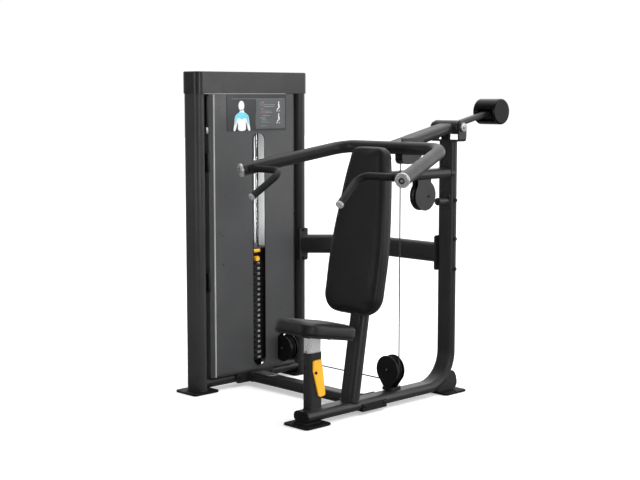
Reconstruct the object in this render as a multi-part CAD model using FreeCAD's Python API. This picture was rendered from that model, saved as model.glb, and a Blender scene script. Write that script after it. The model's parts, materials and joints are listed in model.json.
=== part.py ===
import FreeCAD, Part
import math
import os
from FreeCAD import Vector as V

os.makedirs("parts", exist_ok=True)

# ------------------------------------------------------------------ dimensions (mm)
# design frame: +X to the user's left, the user faces -Y, +Z up, x = 0 on the main rail
SHIFT_X, SHIFT_Y = 194.69, -174.75        # moves the origin to the middle of the footprint box

RAIL_W, RAIL_H, WALL = 100.0, 50.0, 3.0  # flat-oval main tube
RAIL_Z = 44.0                            # rail centre height
RAIL_Y0 = -487.0                         # rail front end
UPR_Y = 518.0                            # upright centre
BEND_R = 170.0                           # centreline radius of the rear bend
UPR_TOP = 1265.0
PLATE_T, RUBBER_T = 8.0, 2.5             # foot plates and the rubber under them
FOOT_SQ, FOOT_R = 164.0, 22.0

COL_X, COL_F, COL_B = -860.0, -400.0, 280.0   # tower columns (front, rear)
COL_W, COL_H = 120.0, 60.0
CAP_Z0, CAP_Z1 = 1500.0, 1609.0
SHROUD_X = -798.0                        # outer face of the front shroud
SHROUD_Y0, SHROUD_Y1 = -349.0, 229.0
SHROUD_Z0, SHROUD_Z1 = 70.0, 1499.0
SLOT_Y, SLOT_W, SLOT_Z0, SLOT_Z1 = -33.0, 79.0, 94.0, 1300.0

STACK_X, STACK_Y = -872.0, -50.0
PLATE_X, PLATE_Y, PLATE_Z, PLATE_PITCH = 110.0, 258.0, 26.9, 27.5
PLATE_N = 19
STACK_Z0 = 119.0                         # underside of the lowest plate
ROD_R, ROD_DY = 10.0, 65.0

PIV_Y, PIV_Z = 518.0, 1335.0             # press arm axis
SPINE_A = math.radians(12.3)             # slope of the arm spine
SPINE_W, SPINE_H = 108.0, 50.0
ARM_R = 30.5                             # round arm tube radius
ARM_END = (517.0, -389.0, 1138.0)
ARM_CORNER = (312.0, 108.0, 1245.0)
ARM_BEND = 117.0
GRIP_R = 15.0
CW_R, CW_L, CW_Y = 65.5, 140.0, 855.0    # counterweight
BAR_W, BAR_H = 44.0, 27.0                # its bar behind the pivot

FP_X, FP_Y, FP_Z = -19.0, 125.0, 168.0   # floor pulley centre
TP_X, TP_Z = -770.0, 168.0               # tower pulley centre
PUL_R, PUL_RO, GUARD_R = 55.0, 63.0, 70.0
TOP_R = 40.0                             # top pulleys, groove radius
TOP_Z = 1432.0
CABLE_R = 2.5

IDL_X, IDL_Y, IDL_Z, IDL_R = 15.0, 318.0, 1007.0, 74.0

PAD_A = math.radians(10.0)               # back pad lean
PAD_T, BOARD_T = 50.0, 11.0
SEAT_A = math.radians(10.0)
SEAT_W, SEAT_L, SEAT_T, SEAT_R = 268.0, 346.0, 52.0, 75.0
SEAT_Y, SEAT_Z = -397.0, 465.0           # centre of the seat's top surface
BEAM_Z, BEAM_H, BEAM_W = 704.0, 100.0, 58.0

parts = {}


# ------------------------------------------------------------------ helpers
def box(x0, x1, y0, y1, z0, z1):
    return Part.makeBox(x1 - x0, y1 - y0, z1 - z0, V(x0, y0, z0))


def cyl(p, d, r, h):
    return Part.makeCylinder(r, h, V(*p), V(*d))


def tube(p, d, ro, ri, h):
    return cyl(p, d, ro, h).cut(cyl(p, d, ri, h))


def oval_wire(c, u, v, w, h):
    """Flat-oval wire, w along u, h along v, round ends at +-u."""
    c, u, v = V(*c), V(*u), V(*v)
    u.normalize()
    v.normalize()
    r = h / 2.0
    a = w / 2.0 - r
    p1, p2 = c + u * a + v * r, c + u * a - v * r
    p3, p4 = c - u * a - v * r, c - u * a + v * r
    e = [Part.LineSegment(p4, p1).toShape(),
         Part.Arc(p1, c + u * (a + r), p2).toShape(),
         Part.LineSegment(p2, p3).toShape(),
         Part.Arc(p3, c - u * (a + r), p4).toShape()]
    return Part.Wire(e)


def oval_bar(p0, p1, u, w, h):
    p0, p1, u = V(*p0), V(*p1), V(*u)
    d = p1 - p0
    v = d.cross(u)
    return Part.Face(oval_wire(p0, u, v, w, h)).extrude(d)


def oval_tube(p0, p1, u, w, h, t=WALL):
    return oval_bar(p0, p1, u, w, h).cut(oval_bar(p0, p1, u, w - 2 * t, h - 2 * t))


def rrect_wire(c, u, v, w, h, r):
    c, u, v = V(*c), V(*u), V(*v)
    u.normalize()
    v.normalize()
    a, b = w / 2.0, h / 2.0
    k = r * (1 - math.sqrt(0.5))

    def P(x, y):
        return c + u * x + v * y
    e = []
    e.append(Part.LineSegment(P(-a + r, -b), P(a - r, -b)).toShape())
    e.append(Part.Arc(P(a - r, -b), P(a - k, -b + k), P(a, -b + r)).toShape())
    e.append(Part.LineSegment(P(a, -b + r), P(a, b - r)).toShape())
    e.append(Part.Arc(P(a, b - r), P(a - k, b - k), P(a - r, b)).toShape())
    e.append(Part.LineSegment(P(a - r, b), P(-a + r, b)).toShape())
    e.append(Part.Arc(P(-a + r, b), P(-a + k, b - k), P(-a, b - r)).toShape())
    e.append(Part.LineSegment(P(-a, b - r), P(-a, -b + r)).toShape())
    e.append(Part.Arc(P(-a, -b + r), P(-a + k, -b + k), P(-a + r, -b)).toShape())
    return Part.Wire(e)


def rrect_bar(c, u, v, w, h, r, d):
    return Part.Face(rrect_wire(c, u, v, w, h, r)).extrude(V(*d))


def poly_face(pts):
    return Part.Face(Part.makePolygon([V(*p) for p in pts] + [V(*pts[0])]))


def fillet_path(points, radii):
    """Straight runs joined by tangent arcs; radii for the inner points."""
    pts = [V(*p) for p in points]
    edges = []
    cur = pts[0]
    for i in range(1, len(pts) - 1):
        p, a, b = pts[i], pts[i - 1], pts[i + 1]
        da = (a - p).normalize()
        db = (b - p).normalize()
        ang = da.getAngle(db)
        r = radii[i - 1]
        t = r / math.tan(ang / 2.0)
        ta, tb = p + da * t, p + db * t
        bis = (da + db).normalize()
        cc = p + bis * (r / math.sin(ang / 2.0))
        mid = cc - bis * r
        if (ta - cur).Length > 1e-6:
            edges.append(Part.LineSegment(cur, ta).toShape())
        edges.append(Part.Arc(ta, mid, tb).toShape())
        cur = tb
    edges.append(Part.LineSegment(cur, pts[-1]).toShape())
    return Part.Wire(edges)


def sweep_round(path, r):
    e0 = path.Edges[0]
    p = e0.valueAt(e0.FirstParameter)
    d = e0.tangentAt(e0.FirstParameter)
    prof = Part.Wire([Part.makeCircle(r, p, d)])
    s = path.makePipeShell([prof], True, False)
    if s.Volume < 0:
        s.reverse()
    return s


def mirror_x(s):
    return s.mirror(V(0, 0, 0), V(1, 0, 0))


def domed(p, d, r, t, dome):
    """Disc of radius r and thickness t along d with an edge radius."""
    s = cyl(p, d, r, t)
    try:
        far = [e for e in s.Edges if e.Length > 1 and
               (e.CenterOfMass - (V(*p) + V(*d).normalize() * t)).Length < 0.5]
        s = s.makeFillet(dome, far)
    except Exception:
        pass
    return s


def add(name, shape):
    parts[name] = shape


def solids(*ss):
    out = []
    for s in ss:
        out += s.Solids
    return Part.makeCompound(out)


FOOT_TOP = RUBBER_T + PLATE_T
UPR_H = 58.0                             # upright tube is a little deeper than the rail

# ------------------------------------------------------------------ main frame
rail_outer = oval_bar((0, RAIL_Y0, RAIL_Z), (0, UPR_Y - BEND_R, RAIL_Z), (1, 0, 0), RAIL_W, RAIL_H)
add("base_rail", oval_tube((0, RAIL_Y0, RAIL_Z), (0, UPR_Y - BEND_R, RAIL_Z), (1, 0, 0), RAIL_W, RAIL_H))


def bend_solid(w, h):
    f = Part.Face(oval_wire((0, UPR_Y - BEND_R, RAIL_Z), (1, 0, 0), (0, 0, 1), w, h))
    return f.revolve(V(0, UPR_Y - BEND_R, RAIL_Z + BEND_R), V(1, 0, 0), 90)


bend_outer = bend_solid(RAIL_W, RAIL_H)
add("rail_bend", bend_outer.cut(bend_solid(RAIL_W - 2 * WALL, RAIL_H - 2 * WALL)))
upr_outer = oval_bar((0, UPR_Y, RAIL_Z + BEND_R), (0, UPR_Y, UPR_TOP), (1, 0, 0), RAIL_W, RAIL_H)
add("rear_upright", oval_tube((0, UPR_Y, RAIL_Z + BEND_R), (0, UPR_Y, UPR_TOP), (1, 0, 0), RAIL_W, RAIL_H))

cap = oval_bar((0, RAIL_Y0 - 4, RAIL_Z), (0, RAIL_Y0, RAIL_Z), (1, 0, 0), RAIL_W, RAIL_H)
cap = cap.fuse(oval_bar((0, RAIL_Y0, RAIL_Z), (0, RAIL_Y0 + 18, RAIL_Z), (1, 0, 0),
                        RAIL_W - 2 * WALL - 0.4, RAIL_H - 2 * WALL - 0.4)).removeSplitter()
add("rail_end_cap", cap)


def foot(cx, cy, holes):
    z0 = RUBBER_T
    s = rrect_bar((cx, cy, z0), (1, 0, 0), (0, 1, 0), FOOT_SQ, FOOT_SQ, FOOT_R, (0, 0, PLATE_T))
    top = [e for e in s.Edges if abs(e.BoundBox.ZMin - z0 - PLATE_T) < 1e-6 and abs(e.BoundBox.ZMax - z0 - PLATE_T) < 1e-6]
    s = s.makeChamfer(1.5, top)
    rub = rrect_bar((cx, cy, 0), (1, 0, 0), (0, 1, 0), FOOT_SQ - 10, FOOT_SQ - 10, FOOT_R - 5, (0, 0, RUBBER_T))
    for hx, hy in holes:
        s = s.cut(cyl((cx + hx, cy + hy, 0), (0, 0, 1), 6.5, 30))
        rub = rub.cut(cyl((cx + hx, cy + hy, 0), (0, 0, 1), 7.5, 30))
    return s, rub


FRONT_FOOT_Y, REAR_FOOT_Y = -452.0, 510.0
f1, r1 = foot(0, FRONT_FOOT_Y, [(-68, 0), (68, 0)])
f2, r2 = foot(0, REAR_FOOT_Y, [(-68, 0), (68, 0)])
f3, r3 = foot(COL_X, COL_F, [(0, -62), (0, 62)])
f4, r4 = foot(COL_X, COL_B, [(0, -62), (0, 62)])
block = rrect_bar((0, FRONT_FOOT_Y + 2, RUBBER_T + PLATE_T), (1, 0, 0), (0, 1, 0), 78, 112, 12,
                  (0, 0, RAIL_Z - RAIL_H / 2 - RUBBER_T - PLATE_T)).cut(rail_outer)
add("front_foot_plate", f1)
add("rear_foot_plate", f2)
add("tower_feet", solids(f3, f4))
add("foot_rubbers", solids(r1, r2, r3, r4, block))

heel = poly_face([(-27, 430, FOOT_TOP), (-27, 540, FOOT_TOP), (-27, 556, 15), (-27, 568, 25), (-27, 574, 38), (-27, 572, 58),
                  (-27, 566, 78), (-27, 557, 94), (-27, 545, 106), (-27, 500, 116), (-27, 430, 40)]).extrude(V(54, 0, 0))
heel = heel.cut(bend_outer).cut(upr_outer)
heel = max(heel.Solids, key=lambda q: q.Volume)
add("rear_heel", heel)

# seat sleeve and pad post
SLV_X, SLV_Y, SLV_YC, SLV_TOP = 52.0, 84.0, -420.0, 333.0
slv_z0 = RAIL_Z
sleeve_full = rrect_bar((0, SLV_YC, slv_z0), (1, 0, 0), (0, 1, 0), SLV_X, SLV_Y, 17, (0, 0, SLV_TOP - slv_z0))
sleeve = sleeve_full.cut(rrect_bar((0, SLV_YC, slv_z0), (1, 0, 0), (0, 1, 0), SLV_X - 5.2, SLV_Y - 5.2, 14.4,
                                   (0, 0, SLV_TOP - slv_z0))).cut(rail_outer)
# clearance hole for the pop pin and its shaft in the +X wall
sleeve = sleeve.cut(cyl((20, -424, 268), (1, 0, 0), 8.0, 12))
add("seat_sleeve", sleeve)

POST_A = math.radians(9.44)
pz0, pz1 = 60.0, 560.0


def post_y(z):
    return -177.0 + (z - 65.0) * math.tan(POST_A)


post_outer = oval_bar((0, post_y(pz0), pz0), (0, post_y(pz1), pz1), (1, 0, 0), 100.0, 60.0)
post = oval_tube((0, post_y(pz0), pz0), (0, post_y(pz1), pz1), (1, 0, 0), 100.0, 60.0).cut(rail_outer)

# back pad, leaning back by PAD_A; local frame: origin on the cushion's front face
PO = V(0, -182.0, 590.0)
PU, PS, PN = V(1, 0, 0), V(0, math.sin(PAD_A), math.cos(PAD_A)), V(0, -math.cos(PAD_A), math.sin(PAD_A))


def pad_pt(u, s, n):
    return PO + PU * u + PS * s + PN * n


def pad_outline(grow, n):
    """Outline from half widths, rounded by arcs, on the plane n in front of the cushion face."""
    P = lambda u, s: pad_pt(u, s, n)
    g = grow
    e = []
    b, t = -108.0 - g, 680.0 + g           # bottom and top along the lean
    wb, wm, wu, wt = 172.0 + g, 171.0 + g, 148.0 + g, 105.0 + g
    pts_r = [(wb, b + 88), (wm + 2, 170.0), (wu, 420.0), (wt + 8, t - 52)]
    bs = Part.BSplineCurve()
    bs.interpolate(Points=[P(u, s) for u, s in pts_r], InitialTangent=PS * 1.0,
                   FinalTangent=PS * 1.0 + PU * -0.25)
    er = bs.toShape()
    bsl = Part.BSplineCurve()
    bsl.interpolate(Points=[P(-u, s) for u, s in pts_r], InitialTangent=PS * 1.0,
                    FinalTangent=PS * 1.0 + PU * 0.25)
    el = bsl.toShape()
    c1 = Part.Arc(P(-wb, b + 88), P(-wb + 28, b + 26), P(-wb + 92, b)).toShape()
    lb = Part.LineSegment(P(-wb + 92, b), P(wb - 92, b)).toShape()
    c2 = Part.Arc(P(wb - 92, b), P(wb - 28, b + 26), P(wb, b + 88)).toShape()
    c3 = Part.Arc(P(wt + 8, t - 52), P(wt - 8, t - 14), P(wt - 42, t)).toShape()
    lt = Part.LineSegment(P(wt - 42, t), P(-wt + 42, t)).toShape()
    c4 = Part.Arc(P(-wt + 42, t), P(-wt + 8, t - 14), P(-wt - 8, t - 52)).toShape()
    return Part.Wire([lb, c2, er, c3, lt, c4, el, c1])


cushion = Part.Face(pad_outline(0, 0)).extrude(PN * -PAD_T)
try:
    front_edges = [e for e in cushion.Edges
                   if all(abs((v.Point - PO).dot(PN)) < 0.01 for v in e.Vertexes)]
    c2 = cushion.makeFillet(14.0, front_edges)
    if c2.isValid() and c2.Volume > 0.9 * cushion.Volume:
        cushion = c2
except Exception:
    pass
add("back_pad", cushion)
board = Part.Face(pad_outline(-7.0, -PAD_T - 0.2)).extrude(PN * -(BOARD_T - 0.2))
pad_halfspace = box(-400, 400, -900, 0, -900, 900)
m = FreeCAD.Matrix()
pl = FreeCAD.Placement(pad_pt(0, 0, -PAD_T - BOARD_T), FreeCAD.Rotation(V(1, 0, 0), -math.degrees(PAD_A)))
pad_halfspace.Placement = pl
post = post.cut(pad_halfspace)
post = max(post.Solids, key=lambda q: q.Volume)
add("pad_post", post)
# board with two slotted fixing straps on its back, one either side of the post
straps = [box(-70, -52.0, -6, 0, 0, 90), box(52.0, 70, -6, 0, 0, 90)]
add("back_pad_board", board)

# pad support tube from the upright to the board, with an end plate against the board
PT_Z = 1109.0
pt_outer = oval_bar((0, -120, PT_Z), (0, UPR_Y, PT_Z), (1, 0, 0), 100.0, 48.0)
pt = oval_tube((0, -120, PT_Z), (0, UPR_Y, PT_Z), (1, 0, 0), 100.0, 48.0)
pt = pt.cut(pad_halfspace).cut(upr_outer)
pt = max(pt.Solids, key=lambda q: q.Volume)
epl = rrect_bar(tuple(pad_pt(0, (PT_Z - 590) / math.cos(PAD_A) - 12, -PAD_T - BOARD_T)), tuple(PU), tuple(PS), 130, 120, 16,
                tuple(PN * -6.0))
pt = pt.cut(epl)
pt = max(pt.Solids, key=lambda q: q.Volume)
pt = pt.fuse(epl).removeSplitter().cut(cyl((FP_X + PUL_R, FP_Y, PT_Z - 60), (0, 0, 1), 8.0, 120))   # the arm cable passes through
add("pad_support_tube", pt)

# ------------------------------------------------------------------ tower
col_f_outer = oval_bar((COL_X, COL_F, FOOT_TOP), (COL_X, COL_F, CAP_Z0 + 60), (1, 0, 0), COL_W, COL_H)
col_b_outer = oval_bar((COL_X, COL_B, FOOT_TOP), (COL_X, COL_B, CAP_Z0 + 60), (1, 0, 0), COL_W, COL_H)
add("tower_front_column", oval_tube((COL_X, COL_F, FOOT_TOP), (COL_X, COL_F, CAP_Z0 + 60), (1, 0, 0), COL_W, COL_H))
add("tower_rear_column", oval_tube((COL_X, COL_B, FOOT_TOP), (COL_X, COL_B, CAP_Z0 + 60), (1, 0, 0), COL_W, COL_H))

BB_Z, BB_H = 45.0, 52.0
bb_outer = oval_bar((COL_X, COL_F, BB_Z), (COL_X, COL_B, BB_Z), (1, 0, 0), 100.0, BB_H)
bb = oval_tube((COL_X, COL_F, BB_Z), (COL_X, COL_B, BB_Z), (1, 0, 0), 100.0, BB_H).cut(col_f_outer).cut(col_b_outer)
bb = max(bb.Solids, key=lambda q: q.Volume)
add("tower_base_beam", bb)

# top beam between the columns, carries the rods and the top pulleys
TB_Z0, TB_Z1 = 1345.0, 1373.0
TB_X0, TB_X1 = -912.0, -836.0
tb_block = box(TB_X0, TB_X1, COL_F, COL_B, TB_Z0, TB_Z1)
tb = tb_block.cut(box(TB_X0 + 3, TB_X1 - 3, COL_F, COL_B, TB_Z0 - 1, TB_Z1 - 3)).cut(col_f_outer).cut(col_b_outer)
tb = max(tb.Solids, key=lambda q: q.Volume)

# top cap over both columns
CAPX, CAPW = -859.0, 132.0
CAPY, CAPL = -60.0, 750.0


def cap_bar(w, l, r, z0, z1):
    return rrect_bar((CAPX, CAPY, z0), (1, 0, 0), (0, 1, 0), w, l, r, (0, 0, z1 - z0))


tc = cap_bar(CAPW, CAPL, 36, CAP_Z0, CAP_Z1)
tc = tc.makeFillet(6.5, [e for e in tc.Edges if e.BoundBox.ZMin > CAP_Z1 - 1e-3])
tc = tc.cut(cap_bar(CAPW - 5, CAPL - 5, 33.5, CAP_Z0, CAP_Z1 - 3))
add("top_cap", tc)

# front shroud: folded sheet with a slot and a pulley opening
ST = 2.0
sx = SHROUD_X


def shroud_profile(o):
    """Outer (o=0) or inner (o=ST) line of the folded sheet."""
    x = sx - o
    y0, y1 = SHROUD_Y0 + o, SHROUD_Y1 - o
    b = 22.0 - 0.6 * o
    return [(sx - 62, y0), (x - 16 + 0.0, y0), (x, y0 + b), (x, y1 - b), (x - 16, y1), (sx - 62, y1)]


po, pi = shroud_profile(0), shroud_profile(ST)
pts = [(x, y, SHROUD_Z0) for x, y in po] + [(x, y, SHROUD_Z0) for x, y in reversed(pi)]
sh = poly_face(pts).extrude(V(0, 0, SHROUD_Z1 - SHROUD_Z0))
hw = SLOT_W / 2
slot = box(sx - 20, sx + 20, SLOT_Y - hw, SLOT_Y + hw, SLOT_Z0 + hw, SLOT_Z1 - hw)
slot = slot.fuse(cyl((sx - 20, SLOT_Y, SLOT_Z0 + hw), (1, 0, 0), hw, 40)).fuse(cyl((sx - 20, SLOT_Y, SLOT_Z1 - hw), (1, 0, 0), hw, 40))
sh = sh.cut(slot)
sh = sh.cut(rrect_bar((sx - 20, FP_Y, TP_Z), (0, 1, 0), (0, 0, 1), 62, 150, 29, (40, 0, 0))).cut(bb_outer).cut(tb_block)
# recess in the front return flange for the latch and its dark cover
sh = sh.cut(box(sx - 52, sx - 24, SHROUD_Y0 - 5, SHROUD_Y0 + 5, 1350, 1480))

rs = box(-930, -928, SHROUD_Y0, SHROUD_Y1, SHROUD_Z0, SHROUD_Z1)
rs = rs.fuse(box(-928, -898, SHROUD_Y0, SHROUD_Y0 + 2, SHROUD_Z0, SHROUD_Z1))
rs = rs.fuse(box(-928, -898, SHROUD_Y1 - 2, SHROUD_Y1, SHROUD_Z0, SHROUD_Z1)).removeSplitter()
rs = rs.cut(bb_outer).cut(tb_block)
rs = max(rs.Solids, key=lambda q: q.Volume)
add("rear_shroud", rs)

add("placard", rrect_bar((sx, -44, 1403), (0, 1, 0), (0, 0, 1), 400, 182, 8, (2.0, 0, 0)))

# guide rods
rod_z0, rod_z1 = BB_Z + 29 + 0.0, TB_Z1 - 3
ry = (STACK_Y - ROD_DY, STACK_Y + ROD_DY)
rods = [cyl((STACK_X, y, BB_Z + BB_H / 2 - 1), (0, 0, 1), ROD_R, rod_z1 - BB_Z - BB_H / 2 + 1).cut(bb_outer) for y in ry]
add("guide_rods", solids(*rods))
cush = [tube((STACK_X, y, BB_Z + BB_H / 2 - 1), (0, 0, 1), 21, ROD_R + 0.0, STACK_Z0 - BB_Z - BB_H / 2 + 1).cut(bb_outer) for y in ry]

# weight plates
HOLE_R, PIN_R = 14.0, 4.6


def weight_plate(z0, tz=PLATE_Z):
    s = box(STACK_X - PLATE_X / 2, STACK_X + PLATE_X / 2, STACK_Y - PLATE_Y / 2, STACK_Y + PLATE_Y / 2, z0, z0 + tz)
    s = s.makeChamfer(2.0, [e for e in s.Edges if e.Length > 60 or abs(e.Length - tz) < 1e-6])
    for y in ry:
        s = s.cut(cyl((STACK_X, y, z0 - 1), (0, 0, 1), ROD_R + 1.0, tz + 2))
    s = s.cut(cyl((STACK_X, STACK_Y, z0 - 1), (0, 0, 1), HOLE_R, tz + 2))
    # dimple ring and cross hole for the pin
    s = s.cut(cyl((STACK_X, STACK_Y, z0 + tz / 2), (1, 0, 0), PIN_R + 0.6, PLATE_X))
    return s


stack = [weight_plate(STACK_Z0 + i * PLATE_PITCH) for i in range(PLATE_N)]
add("weight_stack", solids(*stack))
z_first = STACK_Z0 + PLATE_N * PLATE_PITCH          # first (picked) plate
z_head = z_first + PLATE_PITCH
first = weight_plate(z_first)
HEAD_T = 38.0
head = box(STACK_X - 45, STACK_X + 50, STACK_Y - PLATE_Y / 2 + 6, STACK_Y + PLATE_Y / 2 - 6, z_head, z_head + HEAD_T)
head = head.makeChamfer(3.0, [e for e in head.Edges])
for y in ry:
    head = head.cut(cyl((STACK_X, y, z_head - 1), (0, 0, 1), ROD_R + 0.8, HEAD_T + 2))
sel_r = 11.0
selector = cyl((STACK_X, STACK_Y, STACK_Z0 + 8), (0, 0, 1), sel_r, z_head + 10 - STACK_Z0 - 8)
for i in range(PLATE_N + 1):
    zc = STACK_Z0 + i * PLATE_PITCH + PLATE_Z / 2
    if zc - 6 > STACK_Z0 + 8:
        selector = selector.cut(cyl((STACK_X - 20, STACK_Y, zc), (1, 0, 0), PIN_R + 0.05, 40))
lug = cyl((STACK_X, STACK_Y, z_head + HEAD_T - 5), (0, 0, 1), 14, 31)
head = head.fuse(selector).fuse(lug).removeSplitter()
head_front = box(STACK_X + 10, STACK_X + 44, -48, -17, z_head + HEAD_T, 729.0)
head = head.fuse(head_front).removeSplitter()
add("stack_head", solids(head, first))

# selector pin through the first plate
pin_z = z_first + PLATE_Z / 2
px0 = STACK_X - 13
pin = cyl((px0, STACK_Y, pin_z), (1, 0, 0), PIN_R, STACK_X + PLATE_X / 2 + 6 - px0)
knob = cyl((STACK_X + PLATE_X / 2 + 2, STACK_Y, pin_z), (1, 0, 0), 11.0, 6)
knob = knob.fuse(cyl((STACK_X + PLATE_X / 2 + 8, STACK_Y, pin_z), (1, 0, 0), 8.5, 9))
k2 = cyl((STACK_X + PLATE_X / 2 + 16, STACK_Y, pin_z), (1, 0, 0), 13.2, 13)
k2 = k2.makeFillet(4.0, [e for e in k2.Edges if e.Length > 78])
knob = knob.fuse(k2)
add("selector_pin", pin.fuse(knob).removeSplitter())

# ------------------------------------------------------------------ pulleys
def sheave(c, axis, rg, ro, w, bore):
    """Grooved sheave about an axis through c."""
    a = V(*axis).normalize()
    prof_r = [(bore, -w / 2), (ro, -w / 2), (ro, -w / 2 + 2.0), (rg - CABLE_R - 0.3, -2.2), (rg - CABLE_R - 0.3, 2.2),
              (ro, w / 2 - 2.0), (ro, w / 2), (bore, w / 2)]
    pts = [V(r, 0, z) for r, z in prof_r]
    f = Part.Face(Part.makePolygon(pts + [pts[0]]))
    s = f.revolve(V(0, 0, 0), V(0, 0, 1), 360)
    s.Placement = FreeCAD.Placement(V(*c), FreeCAD.Rotation(V(0, 0, 1), a))
    for k in range(6):
        pass
    return s


SW = 26.0                      # sheave width
AX_R = 8.0
BORE = AX_R + 0.05
add("floor_pulley", sheave((FP_X, FP_Y, FP_Z), (0, 1, 0), PUL_R, PUL_RO, SW, BORE))
add("tower_pulley", sheave((TP_X, FP_Y, TP_Z), (0, 1, 0), PUL_R, PUL_RO, SW, BORE))
add("idler_pulley", sheave((IDL_X - 5, IDL_Y, IDL_Z), (1, 0, 0), 58.0, 66.0, SW, BORE))

# floor pulley guards: two teardrop plates, axle and a foot collar on the rail
def teardrop(cx, cz, y0, t, base_z, base_w):
    d = cyl((cx, y0, cz), (0, 1, 0), GUARD_R, t)
    a = math.radians(32)
    q = poly_face([(cx - GUARD_R * math.cos(a), y0, cz - GUARD_R * math.sin(a)),
                   (cx + GUARD_R * math.cos(a), y0, cz - GUARD_R * math.sin(a)),
                   (cx + base_w / 2, y0, base_z), (cx - base_w / 2, y0, base_z)]).extrude(V(0, t, 0))
    return d.fuse(q).removeSplitter()


GY = 22.0
rail_top = RAIL_Z + RAIL_H / 2
g1 = teardrop(FP_X, FP_Z, FP_Y - GY - 3, 3, rail_top + 14, 46)
g2 = teardrop(FP_X, FP_Z, FP_Y + GY, 3, rail_top + 14, 46)
ax = cyl((FP_X, FP_Y - GY, FP_Z), (0, 1, 0), AX_R, 2 * GY)
hd = cyl((FP_X, FP_Y - GY - 7, FP_Z), (0, 1, 0), 9, 4).fuse(cyl((FP_X, FP_Y + GY + 3, FP_Z), (0, 1, 0), 9, 4))
base = rrect_bar((FP_X, FP_Y + 8, rail_top), (1, 0, 0), (0, 1, 0), 62, 80, 12, (0, 0, 14)).cut(rail_outer)
fg = g1.fuse(g2).fuse(ax).fuse(hd).fuse(base).removeSplitter()
add("floor_pulley_guard", fg)

tg1 = cyl((TP_X, FP_Y - GY - 3, TP_Z), (0, 1, 0), GUARD_R - 1, 3)
tg2 = cyl((TP_X, FP_Y + GY, TP_Z), (0, 1, 0), GUARD_R - 1, 3)
for y0 in (FP_Y - GY - 3, FP_Y + GY):
    leg = poly_face([(TP_X - 64, y0, TP_Z - 12), (TP_X - 33, y0, TP_Z - 60), (TP_X - 34, y0, 90), (TP_X - 66, y0, 90)]).extrude(V(0, 3, 0))
    if y0 < FP_Y:
        tg1 = tg1.fuse(leg)
    else:
        tg2 = tg2.fuse(leg)
tax = cyl((TP_X, FP_Y - GY, TP_Z), (0, 1, 0), AX_R, 2 * GY)
thd = cyl((TP_X, FP_Y - GY - 7, TP_Z), (0, 1, 0), 9, 4).fuse(cyl((TP_X, FP_Y + GY + 3, TP_Z), (0, 1, 0), 9, 4))
tbase = box(TP_X - 96, TP_X - 34, FP_Y - GY - 3, FP_Y + GY + 3, 64, 90).cut(bb_outer)
tbase = max(tbase.Solids, key=lambda q: q.Volume)
tg = tg1.fuse(tg2).fuse(tax).fuse(thd).fuse(tbase).removeSplitter()
add("tower_pulley_guard", tg)

# top pulleys in the vertical plane through both cable drops
UPX, UPY = TP_X - PUL_R, FP_Y                # cable rising from the tower pulley
dx, dy = STACK_X - UPX, STACK_Y - UPY
dl = math.hypot(dx, dy)
ux, uy = dx / dl, dy / dl                    # from the rising run towards the stack
nx, ny = -uy, ux
A_C = (UPX + ux * TOP_R, UPY + uy * TOP_R, TOP_Z)
B_C = (STACK_X - ux * TOP_R, STACK_Y - uy * TOP_R, TOP_Z)
add("top_pulley_rear", sheave(A_C, (nx, ny, 0), TOP_R, 45.0, 14.0, BORE))
add("top_pulley_front", sheave(B_C, (nx, ny, 0), TOP_R, 45.0, 14.0, BORE))
# their bracket: two side plates hung from the top beam, with the axles
mid = ((A_C[0] + B_C[0]) / 2, (A_C[1] + B_C[1]) / 2)


def side_plate(off):
    c = V(mid[0] + nx * off, mid[1] + ny * off, 0)
    half = 92.0
    pts_ = [(c.x - ux * half, c.y - uy * half, TB_Z1), (c.x + ux * half, c.y + uy * half, TB_Z1),
            (c.x + ux * half, c.y + uy * half, TOP_Z + 16), (c.x - ux * half, c.y - uy * half, TOP_Z + 16)]
    return poly_face(pts_).extrude(V(nx, ny, 0) * 4.0)


br = side_plate(9.0).fuse(side_plate(-13.0))
for c in (A_C, B_C):
    br = br.fuse(cyl((c[0] - nx * 10, c[1] - ny * 10, c[2]), (nx, ny, 0), AX_R, 20))
    br = br.fuse(cyl((c[0] - nx * 17, c[1] - ny * 17, c[2]), (nx, ny, 0), 11, 4)).fuse(cyl((c[0] + nx * 13, c[1] + ny * 13, c[2]), (nx, ny, 0), 11, 4))
# the beam has a hole where the stack cable passes down through it
tb_c = tb.cut(cyl((STACK_X, STACK_Y, TB_Z0 - 5), (0, 0, 1), 9.0, 60))
tb_c = max(tb_c.Solids, key=lambda q: q.Volume)
add("tower_top_beam", tb_c)
add("top_pulley_bracket", br.removeSplitter())

# idler: two guard discs, axle, and the bracket under the pad support tube
ig = tube((IDL_X + 11, IDL_Y, IDL_Z), (1, 0, 0), IDL_R, 0.1, 3)
ig = cyl((IDL_X + 11, IDL_Y, IDL_Z), (1, 0, 0), IDL_R, 3.0)
ig = ig.fuse(cyl((IDL_X - 24, IDL_Y, IDL_Z), (1, 0, 0), IDL_R, 3.0))
ig = ig.fuse(cyl((IDL_X - 22, IDL_Y, IDL_Z), (1, 0, 0), AX_R, 34))
for x0 in (IDL_X + 11, IDL_X - 24):
    ig = ig.fuse(box(x0, x0 + 3, IDL_Y - 56, IDL_Y + 40, IDL_Z + 20, PT_Z + 4))
ig = ig.cut(pt_outer)
ig = Part.makeCompound([max(ig.Solids, key=lambda q: q.Volume)]) if len(ig.Solids) > 1 else ig
stub = cyl((IDL_X, IDL_Y + 100, 970), (0, 1, 0), 19, UPR_Y - RAIL_H / 2 - IDL_Y - 100)
stub = stub.makeFillet(6.0, [e for e in stub.Edges if abs(e.BoundBox.YMax - IDL_Y - 100) < 1e-6 and abs(e.BoundBox.YMin - IDL_Y - 100) < 1e-6])
wash = rrect_bar((IDL_X, UPR_Y - RAIL_H / 2 - 4, 970), (1, 0, 0), (0, 0, 1), 44, 84, 18, (0, 4, 0)).cut(upr_outer)
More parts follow.
